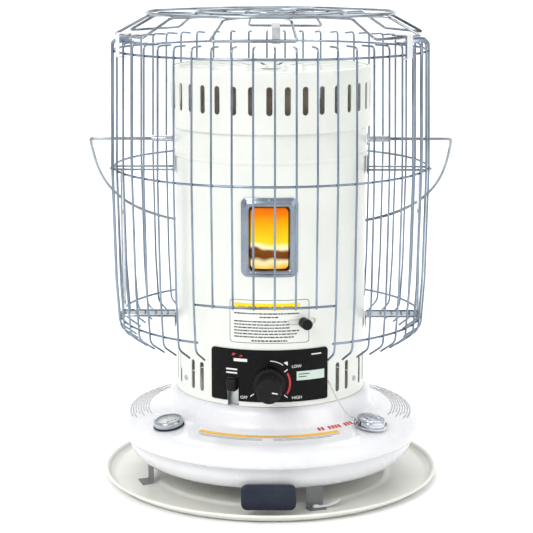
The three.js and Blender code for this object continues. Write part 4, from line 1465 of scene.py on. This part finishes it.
def makeSides():
    for way, label in ((1, "right"), (-1, "left")):
        bearing = 90 * way
        arm = bentStrip([(133.1, 214), (133.1, 228.3), (205, 228.3)], 1.5, 41, bearing, 2.5)
        rails = [
            moved(
                tube([Vector((x, y, 229.6)) for x in (136, 170, 203)], 0.9, 8),
                Matrix.Rotation(math.radians(bearing - 90), 4, "Z")
            )
            for y in (-18.5, 18.5)
        ]
        post = bentStrip([(205.25, 228), (205.25, 330), (205.25, 432.5)], 1.5, 38, bearing, 1)
        creases = [
            moved(
                tube([Vector((206.1, y, z)) for z in (236, 330, 426)], 0.8, 8),
                Matrix.Rotation(math.radians(bearing - 90), 4, "Z")
            )
            for y in (-13, 13)
        ]
        makePiece(
            "sideArm" + label.title(), merged(arm, post, *rails, *creases), paints["barChrome"],
            stands=("side_arm_" + label,)
        )

        z = sides["stayHeight"]
        bend = [(133, -18), (208, -18), (221.3, -11), (221.3, 11), (208, 18), (133, 18)]
        path = [Vector((way * p.x, p.y, z)) for p in eased(bend, 9, 5)]
        stay = tube(path, sides["stayWire"] / 2, 10)
        plate = bentStrip([(133.15, 430), (133.15, 442), (133.15, 454)], 1.6, 44, bearing, 1)
        makePiece(
            "upperStay" + label.title(), merged(stay, plate), paints["barChrome"],
            stands=("upper_stay_" + label,)
        )


def makeBail():
    half, reach, steps = bail["half"], bail["reach"], 96
    arc = []
    for i in range(steps + 1):
        angle = math.pi * i / steps
        c, s = math.cos(angle), max(math.sin(angle), 0)
        arc.append((math.copysign(abs(c) ** (2 / 3), c) * half, s ** (2 / 3) * reach))
    arc = [p for p in arc if p[1] > 9]
    ends = [(150, 0), (half - 6, 0)] + [
        (half - 6 + 6 * math.sin(a), 6 - 6 * math.cos(a))
        for a in (0.4, 0.8, 1.2)
    ]
    path = ends + arc + [(-x, y) for x, y in ends[::-1]]
    turn = Matrix.Translation((0, 0, bail["pivot"])) @ Matrix.Rotation(math.radians(-bail["droop"]), 4, "X")
    points = [turn @ Vector((x, y, 0)) for x, y in path]
    makePiece(
        "bailHandle", tube(points, bail["wire"] / 2, 14), paints["barChrome"], "bail",
        ("bail_handle",), 60
    )
    for way, label in ((1, "right"), (-1, "left")):
        turn = Matrix.Translation((0, 0, bail["pivot"])) @ Matrix.Rotation(math.radians(90 * way), 4, "Y")
        outline = [
            (3, 140), (3, 164), (4.0, 164), (4.3, 163.4), (4.3, 136.4), (5.2, 135.2), (8.6, 134.6),
            (9, 134), (9, 132.4), (0, 132.4), (0, 140),
        ]
        makePiece(
            "bailBracket" + label.title(), turned(outline, 48, matrix=turn), paints["brightChrome"],
            stands=("bail_bracket_" + label,)
        )


makeSides()
makeBail()
print("bail done")


# Battery case.

battery = {"cells": (0, 217, 44)}


def makeBatteryCase():
    softened("batteryCase", "battery_case", paints["satinBlack"], 0.8, "root", 3)
    low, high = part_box("battery_cover")
    x, z0, z1, y = high.x / mm, low.z / mm, high.z / mm, low.y / mm
    loops = []
    for inset, lift in ((0.4, 0), (0, 0.4), (0, 1.0), (0.5, 1.5)):
        loops.append(
            [Vector((u, y + lift, v)) for u, v in roundedRect(x - inset, z0 + inset, z1 - inset, 3, 5, 2)]
        )
    ridges = [tube([Vector((u, y + 1.35, z1 - 8)) for u in (-8 + k, 8 - k)], 0.5, 8) for k in (0, 1)]
    ridges += [tube([Vector((u, y + 1.3, z1 - 8 - 3 * k)) for u in (-9, 0, 9)], 0.5, 8) for k in (1, 2)]
    makePiece(
        "batteryCover", merged(lofted(loops, True), *ridges), paints["satinBlack"], "cell_door",
        ("battery_cover",)
    )
    for name, way in (("left", -1), ("right", 1)):
        turn = Matrix.Translation(battery["cells"]) @ Matrix.Rotation(math.radians(90 * way), 4, "Y")
        outline = [
            (0, 3), (9, 3), (12.4, 3), (13.1, 3.8), (13.1, 51.6), (12.6, 52.6), (11, 53), (3.5, 53),
            (3.4, 54.3), (0, 54.5)
        ]
        makePiece(
            "cell" + name.title(), turned(outline, 48, matrix=turn), paints["cellSleeve"],
            stands=("cell_" + name,)
        )


makeBatteryCase()
print("battery case done")


# The inner parts, each a rounded copy of its solid: name, node, finish, body and slot.
innerParts = (
    ("wickShaft", "wick_shaft", "zinc", "wick_control", "zinc_steel"),
    ("shutoffBracket", "shutoff_bracket", "zinc", "root", "zinc_steel"),
    ("wickHousing", "wick_housing", "zinc", "root", "zinc_steel"),
    ("wick", "wick", "wickFibre", "wick_sleeve", "wick_fibre"),
    ("burnerOuter", "burner_outer", "heatSteel", "burner", "stainless"),
    ("burnerInner", "burner_inner", "heatSteel", "burner", "stainless"),
    ("glassCylinder", "glass_cylinder", "clearGlass", "burner", "clear_glass"),
    ("chimney", "chimney", "heatSteel", "root", "stainless"),
    ("igniter", "igniter", "zinc", "igniter_rod", "zinc_steel"),
    ("tipBracket", "tip_bracket", "zinc", "root", "zinc_steel"),
    ("tipWeight", "tip_weight", "zinc", "pendulum", "zinc_steel"),
    ("gaugeFloat", "gauge_float", "satinBlack", "float", "black_plastic"),
)
for name, node, finish, body, slotName in innerParts:
    softened(name, node, paints[finish], 0.3, body)
print("inner parts done")
